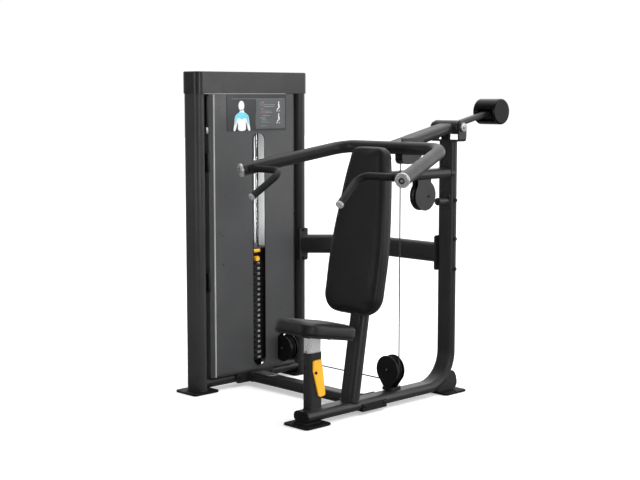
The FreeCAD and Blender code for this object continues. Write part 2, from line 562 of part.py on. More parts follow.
stub = stub.fuse(wash).cut(upr_outer).removeSplitter()
add("idler_guard", solids(ig, stub))

# ------------------------------------------------------------------ beams
bx0, by0 = -50.0, UPR_Y
bxk = -580.0
end = (-809.0, 283.0)
b_long = oval_bar((-60.0, UPR_Y, BEAM_Z), (bxk, UPR_Y, BEAM_Z), (0, 0, 1), BEAM_H, BEAM_W)
b_long_i = oval_bar((-60.0, UPR_Y, BEAM_Z), (bxk, UPR_Y, BEAM_Z), (0, 0, 1), BEAM_H - 6, BEAM_W - 6)
ed = V(end[0] - bxk, end[1] - UPR_Y, 0).normalize()
e_end = (COL_X + COL_W / 2 - 20.0, UPR_Y + (COL_X + COL_W / 2 - 20.0 - bxk) / ed.x * ed.y)
p_start = (bxk - ed.x * 120, UPR_Y - ed.y * 120, BEAM_Z)
p_end = (e_end[0], e_end[1], BEAM_Z)
b_el = oval_bar(p_start, p_end, (0, 0, 1), BEAM_H, BEAM_W)
b_el_i = oval_bar(p_start, p_end, (0, 0, 1), BEAM_H - 6, BEAM_W - 6)
# mitre plane halfway between the two directions
half = math.atan2(-ed.y, -ed.x) / 2.0
mn = V(math.cos(half), math.sin(half), 0)
big_pos = box(0, 900, -900, 900, -900, 900)
big_pos.Placement = FreeCAD.Placement(V(bxk, UPR_Y, BEAM_Z), FreeCAD.Rotation(V(1, 0, 0), mn))
b_long = oval_bar((-60.0, UPR_Y, BEAM_Z), (bxk - 60, UPR_Y, BEAM_Z), (0, 0, 1), BEAM_H, BEAM_W)
b_long_i = oval_bar((-60.0, UPR_Y, BEAM_Z), (bxk - 60, UPR_Y, BEAM_Z), (0, 0, 1), BEAM_H - 6, BEAM_W - 6)
long_t = b_long.cut(b_long_i).common(big_pos)
el_t = b_el.cut(b_el_i).cut(big_pos)
fl1 = rrect_bar((-60.0, UPR_Y, BEAM_Z), (0, 1, 0), (0, 0, 1), 64, 176, 12, (8, 0, 0)).cut(upr_outer)
fl1 = max(fl1.Solids, key=lambda q: q.Volume)
add("middle_beam", long_t.fuse(fl1).removeSplitter())
fl2c = (COL_X + COL_W / 2 + 0.0, e_end[1], BEAM_Z)
fl2 = rrect_bar((COL_X + COL_W / 2 - 14, COL_B, BEAM_Z), (0, 1, 0), (0, 0, 1), 60, 172, 12, (20, 0, 0)).cut(col_b_outer)
fl2 = max(fl2.Solids, key=lambda q: q.Volume)
el_t = el_t.cut(col_b_outer).cut(box(-900, COL_X + COL_W / 2 + 2, 100, 500, 600, 800))
el_t = max(el_t.Solids, key=lambda q: q.Volume)
add("middle_beam_elbow", el_t.fuse(fl2).removeSplitter())

XB_Y, XB_Z, XB_W, XB_H = -62.5, 41.0, 98.0, 50.0
xb_x0 = COL_X + 50.0 + 4
saddle = box(-55, 55, XB_Y - 82, XB_Y + 82, RAIL_Z - RAIL_H / 2 - 4, RAIL_Z + 8).cut(rail_outer)
saddle = saddle.cut(box(-60, 60, XB_Y - 90, XB_Y + 90, RAIL_Z + 8, 200))
saddle = max(saddle.Solids, key=lambda q: q.Volume)
add("rail_saddle", saddle)
xb_o = oval_bar((xb_x0, XB_Y, XB_Z), (-50, XB_Y, XB_Z), (0, 1, 0), XB_W, XB_H)
xb = xb_o.cut(oval_bar((xb_x0, XB_Y, XB_Z), (-50, XB_Y, XB_Z), (0, 1, 0), XB_W - 6, XB_H - 6))
xb = xb.cut(box(-55, 60, -300, 300, -10, 200)).cut(rail_outer)
xb = max(xb.Solids, key=lambda q: q.Volume)
xfl = rrect_bar((xb_x0 - 4, XB_Y, BB_Z - 1), (0, 1, 0), (0, 0, 1), 250, 52, 10, (12, 0, 0)).cut(bb_outer)
xfl = max(xfl.Solids, key=lambda q: q.Volume)
xb = xb.cut(xfl).fuse(xfl).removeSplitter()
add("lower_crossbeam", xb)
sh = sh.cut(box(xb_x0 - 10, xb_x0 + 30, XB_Y - 128, XB_Y + 128, 0, 73))
sh = max(sh.Solids, key=lambda q: q.Volume)
add("front_shroud", sh)

# ------------------------------------------------------------------ pivot and press arm
YK_IN, YK_T, YK_D = 83.0, 9.0, 56.0
yb = UPR_TOP
prof = poly_face([(-YK_IN - YK_T, 0, yb), (YK_IN + YK_T, 0, yb), (YK_IN + YK_T, 0, PIV_Z + 28), (YK_IN, 0, PIV_Z + 28),
                  (YK_IN, 0, yb + YK_T), (-YK_IN, 0, yb + YK_T), (-YK_IN, 0, PIV_Z + 28), (-YK_IN - YK_T, 0, PIV_Z + 28)])
yk = prof.extrude(V(0, YK_D, 0))
yk.translate(V(0, PIV_Y - YK_D / 2, 0))
vert_low = [e for e in yk.Edges if abs(e.Length - YK_D) < 1e-6 and abs(e.BoundBox.ZMax - yb) < 1e-6]
yk = yk.makeFillet(14.0, vert_low)
round_keep = box(-120, 120, PIV_Y - 60, PIV_Y + 60, yb - 5, PIV_Z).fuse(cyl((-120, PIV_Y, PIV_Z), (1, 0, 0), 28, 240))
yk = yk.common(round_keep)
yk = yk.cut(cyl((-130, PIV_Y, PIV_Z), (1, 0, 0), 15.0, 260))
add("pivot_yoke", yk)
shaft = cyl((-YK_IN - YK_T, PIV_Y, PIV_Z), (1, 0, 0), 15.0, 2 * (YK_IN + YK_T))
capL = domed((YK_IN + YK_T, PIV_Y, PIV_Z), (1, 0, 0), 24.0, 7, 2.5)
capR = domed((-YK_IN - YK_T, PIV_Y, PIV_Z), (-1, 0, 0), 24.0, 7, 2.5)
add("pivot_shaft", shaft.fuse(capL).fuse(capR).removeSplitter())
HS = 79.0
housing_outer = cyl((-HS, PIV_Y, PIV_Z), (1, 0, 0), 34.0, 2 * HS)
hsg = tube((-HS, PIV_Y, PIV_Z), (1, 0, 0), 34.0, 15.05, 2 * HS)
hsg = hsg.makeChamfer(2.5, [e for e in hsg.Edges if abs(e.Length - 2 * math.pi * 34.0) < 1e-3])
add("pivot_housing", hsg)

# arm tube (U shaped) with caps
E2 = V(*ARM_END)
E1 = V(-E2.x, E2.y, E2.z)
C2 = V(*ARM_CORNER)
C1 = V(-C2.x, C2.y, C2.z)
arm_dir = (E2 - C2).normalize()
path = fillet_path([tuple(E1), tuple(C1), tuple(C2), tuple(E2)], [ARM_BEND, ARM_BEND])
arm_outer = sweep_round(path, ARM_R)
arm_inner = sweep_round(path, ARM_R - 3.0)
add("arm_tube", arm_outer.cut(arm_inner))
cap_r = domed(tuple(E2), tuple(arm_dir), 33.0, 13.0, 7.0)
cap_l = mirror_x(cap_r)
add("arm_end_caps", solids(cap_r, cap_l))

sd = V(0, math.cos(SPINE_A), math.sin(SPINE_A))
piv = V(0, PIV_Y, PIV_Z)
s0 = piv + sd * (-(PIV_Y - 120.0) / math.cos(SPINE_A))
s1 = piv + sd * ((CW_Y - 2 - PIV_Y) / math.cos(SPINE_A))
spine_outer = oval_bar(tuple(s0), tuple(piv + sd * 34), (1, 0, 0), SPINE_W, SPINE_H)
spine = spine_outer.cut(oval_bar(tuple(s0), tuple(piv + sd * 30), (1, 0, 0), SPINE_W - 8, SPINE_H - 8))
spine = spine.cut(arm_outer).cut(housing_outer)
rear_bar = oval_bar(tuple(piv + sd * 34), tuple(s1), (1, 0, 0), BAR_W, BAR_H)
add("arm_spine", solids(*[q for q in spine.Solids if q.Volume > 2000]))
add("counterweight_bar", rear_bar)

cwc = piv + sd * ((CW_Y - PIV_Y) / math.cos(SPINE_A))
cw = cyl((-CW_L / 2, cwc.y, cwc.z), (1, 0, 0), CW_R, CW_L)
cw = cw.makeFillet(9.0, [e for e in cw.Edges if e.Length > 300])
notch = rrect_bar(tuple(cwc - sd * 90 + V(12, 0, -6)), (1, 0, 0), tuple(sd.cross(V(1, 0, 0))), 96, 66, 4, tuple(sd * 60))
cw = cw.cut(notch).cut(rear_bar)
add("counterweight", cw)

# grips: bent rods, inward from the arm and then forward and down
gstart, gbend, gend = (466.0, -366.0, 1146.0), (250.0, -371.0, 1145.0), (284.0, -530.0, 1030.0)
gp = fillet_path([gstart, gbend, gend], [50.0])
grip = sweep_round(gp, GRIP_R).cut(arm_outer)
grip = max(grip.Solids, key=lambda q: q.Volume)
add("arm_grips", solids(grip, mirror_x(grip)))
gd = (V(*gend) - V(*gbend)).normalize()
gcap = domed(gend, tuple(gd), 17.5, 8.0, 4.0)
cd = (V(*gstart) - V(*gbend)).normalize()
collar = cyl(gstart, tuple(cd), 19.0, 14.0).cut(arm_outer)
collar = max(collar.Solids, key=lambda q: q.Volume)
add("grip_caps", solids(gcap, mirror_x(gcap), collar, mirror_x(collar)))

# cable anchor under the arm: two cheeks and a pin
CAB_X = FP_X + PUL_R
def cheek(x0, t):
    c_ = poly_face([(x0, 112, 1290), (x0, 112, 1192), (x0, 116, 1178), (x0, 128, 1169), (x0, 150, 1166), (x0, 190, 1167),
                    (x0, 212, 1174), (x0, 238, 1190), (x0, 257, 1208), (x0, 264, 1226), (x0, 264, 1290)]).extrude(V(t, 0, 0))
    c_ = c_.cut(arm_outer).cut(spine_outer)
    return max([q for q in c_.Solids if q.BoundBox.ZMin < 1190], key=lambda q: q.Volume)


a_all = cheek(CAB_X - 22, 6).fuse(cheek(CAB_X + 18, 6))
anchor_pin = cyl((CAB_X - 17, FP_Y, 1190), (1, 0, 0), 6.0, 36)
web = box(CAB_X - 17, CAB_X + 19, 112, 116, 1192, 1290).cut(arm_outer).cut(spine_outer)
web = max([q for q in web.Solids if q.BoundBox.ZMin < 1200], key=lambda q: q.Volume)
a_all = a_all.fuse(anchor_pin).fuse(web)
add("cable_anchor", a_all.removeSplitter())

# rubber stop under the spine on the yoke
us = lambda y: PIV_Z + (y - PIV_Y) * math.tan(SPINE_A) - (SPINE_H / 2) / math.cos(SPINE_A)
y0_, y1_ = PIV_Y - 27, PIV_Y - 13
stp = poly_face([(-24, y0_, yb + YK_T), (-24, y1_, yb + YK_T), (-24, y1_, 1301.8), (-24, y0_, 1302.8)]).extrude(V(48, 0, 0))
add("rubber_stops", solids(stp, *cush))

# ------------------------------------------------------------------ cables
arm_cable = cyl((CAB_X, FP_Y, FP_Z), (0, 0, 1), CABLE_R, 1184.0 - 0.2 - FP_Z)
add("arm_cable", arm_cable)
r = PUL_R
cw_edges = []
# quarter turn under the floor pulley (from +X side to the bottom), straight, quarter turn under the tower pulley
pA, pB = V(FP_X + r, FP_Y, FP_Z), V(FP_X, FP_Y, FP_Z - r)
pM = V(FP_X + r * math.sqrt(0.5), FP_Y, FP_Z - r * math.sqrt(0.5))
pC, pD = V(TP_X, FP_Y, TP_Z - r), V(TP_X - r, FP_Y, TP_Z)
pN = V(TP_X - r * math.sqrt(0.5), FP_Y, TP_Z - r * math.sqrt(0.5))
qA, qT = V(UPX, UPY, TOP_Z), V(A_C[0], A_C[1], TOP_Z + TOP_R)
k = TOP_R * (1 - math.sqrt(0.5))
qM = V(UPX + ux * k, UPY + uy * k, TOP_Z + TOP_R * math.sqrt(0.5))
qB = V(B_C[0], B_C[1], TOP_Z + TOP_R)
qN = V(STACK_X - ux * k, STACK_Y - uy * k, TOP_Z + TOP_R * math.sqrt(0.5))
qC = V(STACK_X, STACK_Y, TOP_Z)
run = Part.Wire([Part.Arc(pA, pM, pB).toShape(), Part.LineSegment(pB, pC).toShape(), Part.Arc(pC, pN, pD).toShape(),
                 Part.LineSegment(pD, qA).toShape(), Part.Arc(qA, qM, qT).toShape(),
                 Part.LineSegment(qT, qB).toShape(), Part.Arc(qB, qN, qC).toShape()])
run_cable = sweep_round(run, CABLE_R)
print("run cable length", round(run.Length, 1), "volume ratio", round(run_cable.Volume / (math.pi * CABLE_R ** 2 * run.Length), 4))
add("run_cable", run_cable)
z_lug = z_head + HEAD_T + 26
add("stack_cable", cyl((STACK_X, STACK_Y, z_lug), (0, 0, 1), CABLE_R, TOP_Z - z_lug))

# ------------------------------------------------------------------ seat
SN = V(0, math.sin(SEAT_A), math.cos(SEAT_A))       # seat surface normal, rear edge lower
SU, SV = V(1, 0, 0), V(0, math.cos(SEAT_A), -math.sin(SEAT_A))
SO = V(0, SEAT_Y, SEAT_Z)
seat = rrect_bar(tuple(SO), tuple(SU), tuple(SV), SEAT_W, SEAT_L, SEAT_R, tuple(SN * -SEAT_T))
te = [e for e in seat.Edges if all(abs((v.Point - SO).dot(SN)) < 0.01 for v in e.Vertexes)]
try:
    s2 = seat.makeFillet(12.0, te)
    if s2.isValid() and s2.Volume > 0.9 * seat.Volume:
        seat = s2
except Exception:
    pass
add("seat_pad", seat)
sb = rrect_bar(tuple(SO + SN * (-SEAT_T - 0.2)), tuple(SU), tuple(SV), SEAT_W - 16, SEAT_L - 16, SEAT_R - 8, tuple(SN * -9.0))
ctop = SO + SN * (-SEAT_T - 9.2)
carrier = rrect_bar(tuple(ctop + SV * 4), tuple(SU), tuple(SV), 120, 220, 14, tuple(SN * -6.0))
PX_, PY_ = 45.6, 77.6
PC = SLV_YC
post_in = rrect_bar((0, PC, 150), (1, 0, 0), (0, 1, 0), PX_, PY_, 13.8, (0, 0, 330))
post_i = rrect_bar((0, PC, 150), (1, 0, 0), (0, 1, 0), PX_ - 5, PY_ - 5, 11.3, (0, 0, 330))
half_above = box(-400, 400, -400, 400, 0, 400)
half_above.Placement = FreeCAD.Placement(ctop - SN * 6.0, FreeCAD.Rotation(V(0, 0, 1), SN))
post_in = post_in.cut(half_above).cut(post_i)
# rack of holes in the front face and the +X face
for i in range(6):
    post_in = post_in.cut(cyl((0, PC - PY_ / 2 - 5, 190 + i * 30), (0, 1, 0), 5.0, 10))
    post_in = post_in.cut(cyl((10, -424, 178 + i * 30), (1, 0, 0), 6.5, 20))
post_in = max(post_in.Solids, key=lambda q: q.Volume)
add("seat_post", post_in)
add("seat_carrier", solids(sb, carrier))

# seat lever on the +X side of the sleeve, its pin, and the locking plunger behind it
LVX0, LVX1 = 29.0, 37.5
LP_Y, LP_Z = -434.0, 244.0
lv = [(-446, 252), (-446, 296), (-440, 302), (-402, 303), (-395, 297), (-384, 231), (-372, 140), (-376, 131), (-404, 128), (-413, 133)]
lever = poly_face([(LVX0, y, z) for y, z in lv]).extrude(V(LVX1 - LVX0, 0, 0))
lever = lever.makeChamfer(2.0, [e for e in lever.Edges if abs(e.BoundBox.XMin - LVX1) < 1e-6 and abs(e.BoundBox.XMax - LVX1) < 1e-6])
lever = lever.cut(cyl((0, LP_Y, LP_Z), (1, 0, 0), 5.05, 80))
# pocket behind the lever so the plunger clears it
add("seat_lever", lever)
lp = cyl((SLV_X / 2, LP_Y, LP_Z), (1, 0, 0), 5.0, LVX1 + 4 - SLV_X / 2)
lp = lp.fuse(cyl((LVX1 + 0.5, LP_Y, LP_Z), (1, 0, 0), 7.0, 3.5)).fuse(cyl((SLV_X / 2, LP_Y, LP_Z), (1, 0, 0), 9.0, LVX0 - SLV_X / 2 - 0.6))
plunger = cyl((23.4, -424, 268), (1, 0, 0), 5.5, SLV_X / 2 - 23.4)
plunger = plunger.fuse(cyl((SLV_X / 2, -424, 268), (1, 0, 0), 9.5, 2.4)).removeSplitter()
add("lever_pin", solids(lp.removeSplitter(), plunger))

# ------------------------------------------------------------------ fasteners
bolts = []


def bolt(p, d, r=9.0, t=6.0):
    p, d = V(*p), V(*d).normalize()
    s = cyl(tuple(p), tuple(d), r + 3, 2.0)
    n = [V(r * math.cos(math.radians(60 * i)), r * math.sin(math.radians(60 * i)), 0) for i in range(6)]
    f = Part.Face(Part.makePolygon(n + [n[0]]))
    h = f.extrude(V(0, 0, t))
    h.Placement = FreeCAD.Placement(p + d * 2, FreeCAD.Rotation(V(0, 0, 1), d))
    return s.fuse(h).removeSplitter()


for z in (BEAM_Z - 75, BEAM_Z + 76):
    b_ = bolt((RAIL_W / 2 - 1.5, UPR_Y, z), (1, 0, 0)).cut(upr_outer)
    bolts.append(max(b_.Solids, key=lambda q: q.Volume))
    b_ = bolt((COL_X + COL_W / 2 + 6, COL_B, z), (1, 0, 0), 8.0, 5.0)
    bolts.append(b_)
b_ = bolt((RAIL_W / 2 - 1.5, UPR_Y, 973), (1, 0, 0)).cut(upr_outer)
bolts.append(max(b_.Solids, key=lambda q: q.Volume))
for y in (XB_Y - 108, XB_Y + 108):
    bolts.append(bolt((xb_x0 + 8, y, BB_Z - 1), (1, 0, 0), 8.0, 5.0))
add("frame_bolts", solids(*bolts))

# ------------------------------------------------------------------ write out
for name, s in parts.items():
    s = s.copy()
    s.translate(V(SHIFT_X, SHIFT_Y, 0))
    if s.ShapeType == "Compound" and len(s.Solids) == 1:
        s = s.Solids[0]
    ok = all(q.isValid() for q in s.Solids) and len(s.Solids) > 0
    if not ok or s.Volume <= 0:
        print("PROBLEM", name, s.ShapeType, len(s.Solids), s.Volume)
    s.exportStep("parts/" + name + ".step")
bb_all = Part.makeCompound(list(parts.values())).BoundBox
print("nodes", len(parts))
print("design box", [round(v, 1) for v in (bb_all.XMin, bb_all.XMax, bb_all.YMin, bb_all.YMax, bb_all.ZMin, bb_all.ZMax)])
print("shift for centre", round(-(bb_all.XMin + bb_all.XMax) / 2, 2), round(-(bb_all.YMin + bb_all.YMax) / 2, 2))
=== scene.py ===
import bpy, bmesh, math, json
import numpy as np
from mathutils import Vector, Matrix


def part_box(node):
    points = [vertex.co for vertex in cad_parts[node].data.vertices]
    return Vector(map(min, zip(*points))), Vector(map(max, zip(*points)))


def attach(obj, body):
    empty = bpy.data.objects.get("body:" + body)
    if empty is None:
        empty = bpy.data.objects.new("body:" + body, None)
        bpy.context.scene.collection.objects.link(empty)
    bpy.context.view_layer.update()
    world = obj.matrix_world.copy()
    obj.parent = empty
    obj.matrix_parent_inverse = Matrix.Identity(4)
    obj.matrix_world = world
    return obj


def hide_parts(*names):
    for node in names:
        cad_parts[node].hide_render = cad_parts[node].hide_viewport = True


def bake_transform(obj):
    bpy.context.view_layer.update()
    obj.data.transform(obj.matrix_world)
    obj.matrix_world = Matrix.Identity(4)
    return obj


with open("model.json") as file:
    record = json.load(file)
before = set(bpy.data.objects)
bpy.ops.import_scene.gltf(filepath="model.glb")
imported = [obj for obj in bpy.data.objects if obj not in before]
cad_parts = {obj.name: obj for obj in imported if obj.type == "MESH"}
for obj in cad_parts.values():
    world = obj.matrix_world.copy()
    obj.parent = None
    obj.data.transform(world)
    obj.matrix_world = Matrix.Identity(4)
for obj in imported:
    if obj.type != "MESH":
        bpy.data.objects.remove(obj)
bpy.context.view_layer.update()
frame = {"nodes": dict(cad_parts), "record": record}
scene = bpy.context.scene
NODES = frame["nodes"]

# ------------------------------------------------------------------ where the design's axes lie in the row frame
lo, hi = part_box("base_rail")
SX = (lo.x + hi.x) / 2
lo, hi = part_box("rear_upright")
SY = (lo.y + hi.y) / 2 - 0.518


def D(x, y, z):
    """Design millimetres to row metres."""
    return Vector((x / 1000 + SX, y / 1000 + SY, z / 1000))


# ------------------------------------------------------------------ camera
cam_data = bpy.data.cameras.new("camera")
cam_data.sensor_width = 36.0
cam_data.lens = 72.28
cam_data.clip_start, cam_data.clip_end = 0.1, 100
cam = bpy.data.objects.new("camera", cam_data)
scene.collection.objects.link(cam)
cam.location = D(4142.5, -4400.0, 1500.0)
cam.rotation_euler = (math.radians(83.5), 0, math.radians(45.8))
scene.camera = cam


# ------------------------------------------------------------------ node material helpers
class NT:
    def __init__(self, name):
        self.mat = bpy.data.materials.new(name)
        self.mat.use_nodes = True
        self.t = self.mat.node_tree
        self.t.nodes.clear()
        self.out = self.n("ShaderNodeOutputMaterial")
        self.b = self.n("ShaderNodeBsdfPrincipled")
        self.l(self.b.outputs[0], self.out.inputs[0])
        self.co = self.n("ShaderNodeTexCoord").outputs["Object"]

    def n(self, kind, **kw):
        x = self.t.nodes.new(kind)
        for k, v in kw.items():
            setattr(x, k, v)
        return x

    def l(self, a, b):
        self.t.links.new(a, b)

    def mapping(self, scale=(1, 1, 1), rot=(0, 0, 0), loc=(0, 0, 0)):
        m = self.n("ShaderNodeMapping")
        m.inputs["Scale"].default_value = scale
        m.inputs["Rotation"].default_value = rot
        m.inputs["Location"].default_value = loc
        self.l(self.co, m.inputs[0])
        return m.outputs[0]

    def noise(self, scale, detail=3, rough=0.55, vec=None, dist=0.0):
        x = self.n("ShaderNodeTexNoise")
        x.inputs["Scale"].default_value = scale
        x.inputs["Detail"].default_value = detail
        x.inputs["Roughness"].default_value = rough
        x.inputs["Distortion"].default_value = dist
        self.l(vec or self.co, x.inputs["Vector"])
        return x.outputs["Fac"]

    def voronoi(self, scale, feature="F1", vec=None, rand=1.0):
        x = self.n("ShaderNodeTexVoronoi", feature=feature)
        x.inputs["Scale"].default_value = scale
        x.inputs["Randomness"].default_value = rand
        self.l(vec or self.co, x.inputs["Vector"])
        return x.outputs["Distance"]

    def wave(self, scale, direction="Z", dist=0.0, vec=None, kind="BANDS"):
        x = self.n("ShaderNodeTexWave", wave_type=kind)
        if kind == "BANDS":
            x.bands_direction = direction
        x.inputs["Scale"].default_value = scale
        x.inputs["Distortion"].default_value = dist
        self.l(vec or self.co, x.inputs["Vector"])
        return x.outputs["Fac"]

    def ramp(self, fac, stops):
        x = self.n("ShaderNodeValToRGB")
        e = x.color_ramp.elements
        while len(e) > len(stops):
            e.remove(e[-1])
        while len(e) < len(stops):
            e.new(0.5)
        for el, (p, c) in zip(e, stops):
            el.position = p
            el.color = (*c, 1) if len(c) == 3 else c
        self.l(fac, x.inputs[0])
        return x.outputs[0]

    def mrange(self, v, a, b, c, d):
        x = self.n("ShaderNodeMapRange")
        self.l(v, x.inputs[0])
        for i, val in enumerate((a, b, c, d)):
            x.inputs[i + 1].default_value = val
        return x.outputs[0]

    def math(self, op, a, b=None):
        x = self.n("ShaderNodeMath", operation=op)
        for i, v in enumerate((a, b)):
            if v is None:
                continue
            if isinstance(v, (int, float)):
                x.inputs[i].default_value = v
            else:
                self.l(v, x.inputs[i])
        return x.outputs[0]

    def mix(self, fac, a, b):
        x = self.n("ShaderNodeMix", data_type="RGBA")
        for s, v in ((0, fac), (6, a), (7, b)):
            if isinstance(v, (int, float)):
                x.inputs[s].default_value = v
            elif isinstance(v, tuple):
                x.inputs[s].default_value = (*v, 1)
            else:
                self.l(v, x.inputs[s])
        return x.outputs[2]

    def bump(self, h, strength, dist, normal=None):
        x = self.n("ShaderNodeBump")
        x.inputs["Strength"].default_value = strength
        x.inputs["Distance"].default_value = dist
        self.l(h, x.inputs["Height"])
        if normal is not None:
            self.l(normal, x.inputs["Normal"])
        return x.outputs[0]

    def set(self, **kw):
        names = {"rough": "Roughness", "metal": "Metallic", "spec": "Specular IOR Level", "coat": "Coat Weight",
                 "coat_rough": "Coat Roughness", "sheen": "Sheen Weight", "sheen_rough": "Sheen Roughness",
                 "aniso": "Anisotropic", "ior": "IOR"}
        for k, v in kw.items():
            if k == "col":
                s = self.b.inputs["Base Color"]
            elif k == "normal":
                s = self.b.inputs["Normal"]
            elif k == "emit":
                self.b.inputs["Emission Color"].default_value = (*v, 1)
                self.b.inputs["Emission Strength"].default_value = 1.0
                continue
            else:
                s = self.b.inputs[names[k]]
            if isinstance(v, (int, float)):
                s.default_value = v
            elif isinstance(v, tuple):
                s.default_value = (*v, 1)
            else:
                self.l(v, s)
        return self.mat


def scaled(c, k):
    return tuple(min(1.0, x * k) for x in c)


def edge_mask(t, radius=0.0022, gain=3.0):
    """0 on flat faces, towards 1 along sharp outer edges."""
    bv = t.n("ShaderNodeBevel", samples=4)
    bv.inputs["Radius"].default_value = radius
    geo = t.n("ShaderNodeNewGeometry")
    dot = t.n("ShaderNodeVectorMath", operation="DOT_PRODUCT")
    t.l(bv.outputs[0], dot.inputs[0])
    t.l(geo.outputs["True Normal"], dot.inputs[1])
    inv = t.math("SUBTRACT", 1.0, dot.outputs["Value"])
    m = t.math("MULTIPLY", inv, gain)
    m = t.n("ShaderNodeClamp") if False else m
    return bv.outputs[0], m


def powder(name, col, rough=0.46, grain=1500.0, depth=0.00012, strength=0.35, var=0.12, wear=0.35, coat=0.0, spec=0.5,
           scuff=0.5, bevel=0.0022):
    """Fine textured powder coat: grain bump, cloudy tone, scuffs, and slightly worn edges."""
    t = NT(name)
    cloud = t.noise(3.2, 4, 0.6)
    fine = t.noise(grain, 2, 0.5)
    speck = t.noise(grain * 0.45, 1, 0.4)
    c0 = t.mix(t.mrange(cloud, 0.3, 0.7, 0, 1), scaled(col, 1 - var), scaled(col, 1 + var))
    c1 = t.mix(t.mrange(speck, 0.60, 0.72, 0, 0.35), c0, scaled(col, 1.9))
    sc = t.noise(9.0, 6, 0.72, t.mapping((1.0, 1.0, 0.35)), 1.2)
    scm = t.mrange(sc, 0.62, 0.74, 0, scuff)
    nb, em = edge_mask(t, bevel)
    wn = t.noise(60, 3, 0.6)
    wmask = t.math("MULTIPLY", t.mrange(em, 0.15, 0.9, 0, 1), t.mrange(wn, 0.35, 0.65, 0.25, wear))
    c2 = t.mix(wmask, c1, scaled(col, 3.2))
    r0 = t.mrange(t.noise(14, 5, 0.6), 0.3, 0.7, rough - 0.05, rough + 0.06)
    r1 = t.math("ADD", r0, t.math("MULTIPLY", scm, 0.10))
    h = t.math("ADD", fine, t.math("MULTIPLY", speck, 0.6))
    nrm = t.bump(h, strength, depth, nb)
    return t.set(col=c2, rough=r1, normal=nrm, spec=spec, coat=coat, coat_rough=0.35)


def plastic(name, col, rough=0.42, grain=700.0, strength=0.3, depth=0.00015, spec=0.5, var=0.10):
    """Moulded plastic: pebbled grain, faint flow marks, handling sheen, and edges painted lighter as a painted
    highlight.
    """
    t = NT(name)
    cell = t.voronoi(grain, "F1")
    cloud = t.noise(6, 4, 0.6, dist=0.8)
    c = t.mix(t.mrange(cloud, 0.3, 0.7, 0, 1), scaled(col, 1 - var), scaled(col, 1 + var * 1.5))
    nb, em = edge_mask(t, 0.0015)
    # edges painted up to 2.4 times lighter: a painted highlight along them
    c = t.mix(t.mrange(em, 0.2, 1.0, 0, 0.35), c, scaled(col, 2.4))
    r = t.mrange(t.noise(22, 4, 0.6), 0.3, 0.7, rough - 0.03, rough + 0.035)
    return t.set(col=c, rough=r, normal=t.bump(cell, strength, depth, nb), spec=spec)


def vinyl(name, col, rough=0.42):
    """Upholstery vinyl: leather grain from two cell sizes, soft creases, a faint sheen all over."""
    t = NT(name)
    wob = t.n("ShaderNodeVectorMath", operation="ADD")
    nz = t.n("ShaderNodeTexNoise")
    nz.inputs["Scale"].default_value = 55
    t.l(t.co, nz.inputs["Vector"])
    sc = t.n("ShaderNodeVectorMath", operation="SCALE")
    sc.inputs["Scale"].default_value = 0.004
    t.l(nz.outputs["Color"], sc.inputs[0])
    t.l(t.co, wob.inputs[0])
    t.l(sc.outputs[0], wob.inputs[1])
    v = wob.outputs[0]
    g1 = t.voronoi(430, "DISTANCE_TO_EDGE", v)
    g2 = t.voronoi(900, "F1", v)
    cr = t.noise(38, 5, 0.7, dist=1.5)
    h = t.math("ADD", t.math("MULTIPLY", t.mrange(g1, 0.0, 0.35, 0, 1), 1.0), t.math("MULTIPLY", g2, 0.35))
    h = t.math("ADD", h, t.math("MULTIPLY", cr, 0.6))
    cloud = t.noise(5, 4, 0.6)
    c = t.mix(t.mrange(cloud, 0.3, 0.7, 0, 1), scaled(col, 0.85), scaled(col, 1.25))
    c = t.mix(t.mrange(g1, 0.0, 0.12, 0.5, 0.0), c, scaled(col, 0.45))
    r = t.mrange(t.noise(8, 4, 0.6), 0.3, 0.7, rough - 0.06, rough + 0.08)
    return t.set(col=c, rough=r, normal=t.bump(h, 0.32, 0.00035), spec=0.42, sheen=0.05, sheen_rough=0.5)


def rubber(name, col, rough=0.62, ribs=None):
    t = NT(name)
    f = t.noise(1100, 2, 0.5)
    big = t.noise(12, 4, 0.6)
    c = t.mix(t.mrange(big, 0.3, 0.7, 0, 1), scaled(col, 0.85), scaled(col, 1.25))
    dust = t.mrange(t.noise(45, 6, 0.75), 0.60, 0.75, 0, 0.18)
    c = t.mix(dust, c, scaled(col, 3.0))
    r = t.mrange(t.noise(18, 4, 0.6), 0.3, 0.7, rough - 0.05, rough + 0.08)
    return t.set(col=c, rough=r, normal=t.bump(f, 0.4, 0.0002), spec=0.4)


def brushed(name, col, rough=0.30, axis="Z", metal=1.0, fine=260, strength=0.12, spec=0.5):
    """Brushed or turned metal: long streaks across one axis, small scratches, fingerprint haze."""
    t = NT(name)
    k = {"X": (0.02, 1, 1), "Y": (1, 0.02, 1), "Z": (1, 1, 0.02), "R": (1, 1, 1)}[axis]
    st = t.noise(fine * 4, 3, 0.6, t.mapping(k))
    scr = t.noise(fine, 6, 0.75, t.mapping((0.6, 0.9, 0.08), (0.4, 0.2, 0.1)))
    haze = t.noise(25, 4, 0.6, dist=0.6)
    c = t.mix(t.mrange(st, 0.25, 0.75, 0, 1), scaled(col, 0.82), scaled(col, 1.08))
    c = t.mix(t.mrange(haze, 0.45, 0.75, 0, 0.25), c, scaled(col, 0.72))
    nb, em = edge_mask(t, 0.0012)
    r = t.math("ADD", t.mrange(st, 0.2, 0.8, rough - 0.06, rough + 0.10), t.mrange(scr, 0.6, 0.8, 0, 0.12))
    return t.set(col=c, rough=r, metal=metal, normal=t.bump(st, strength, 0.00006, nb), spec=spec)


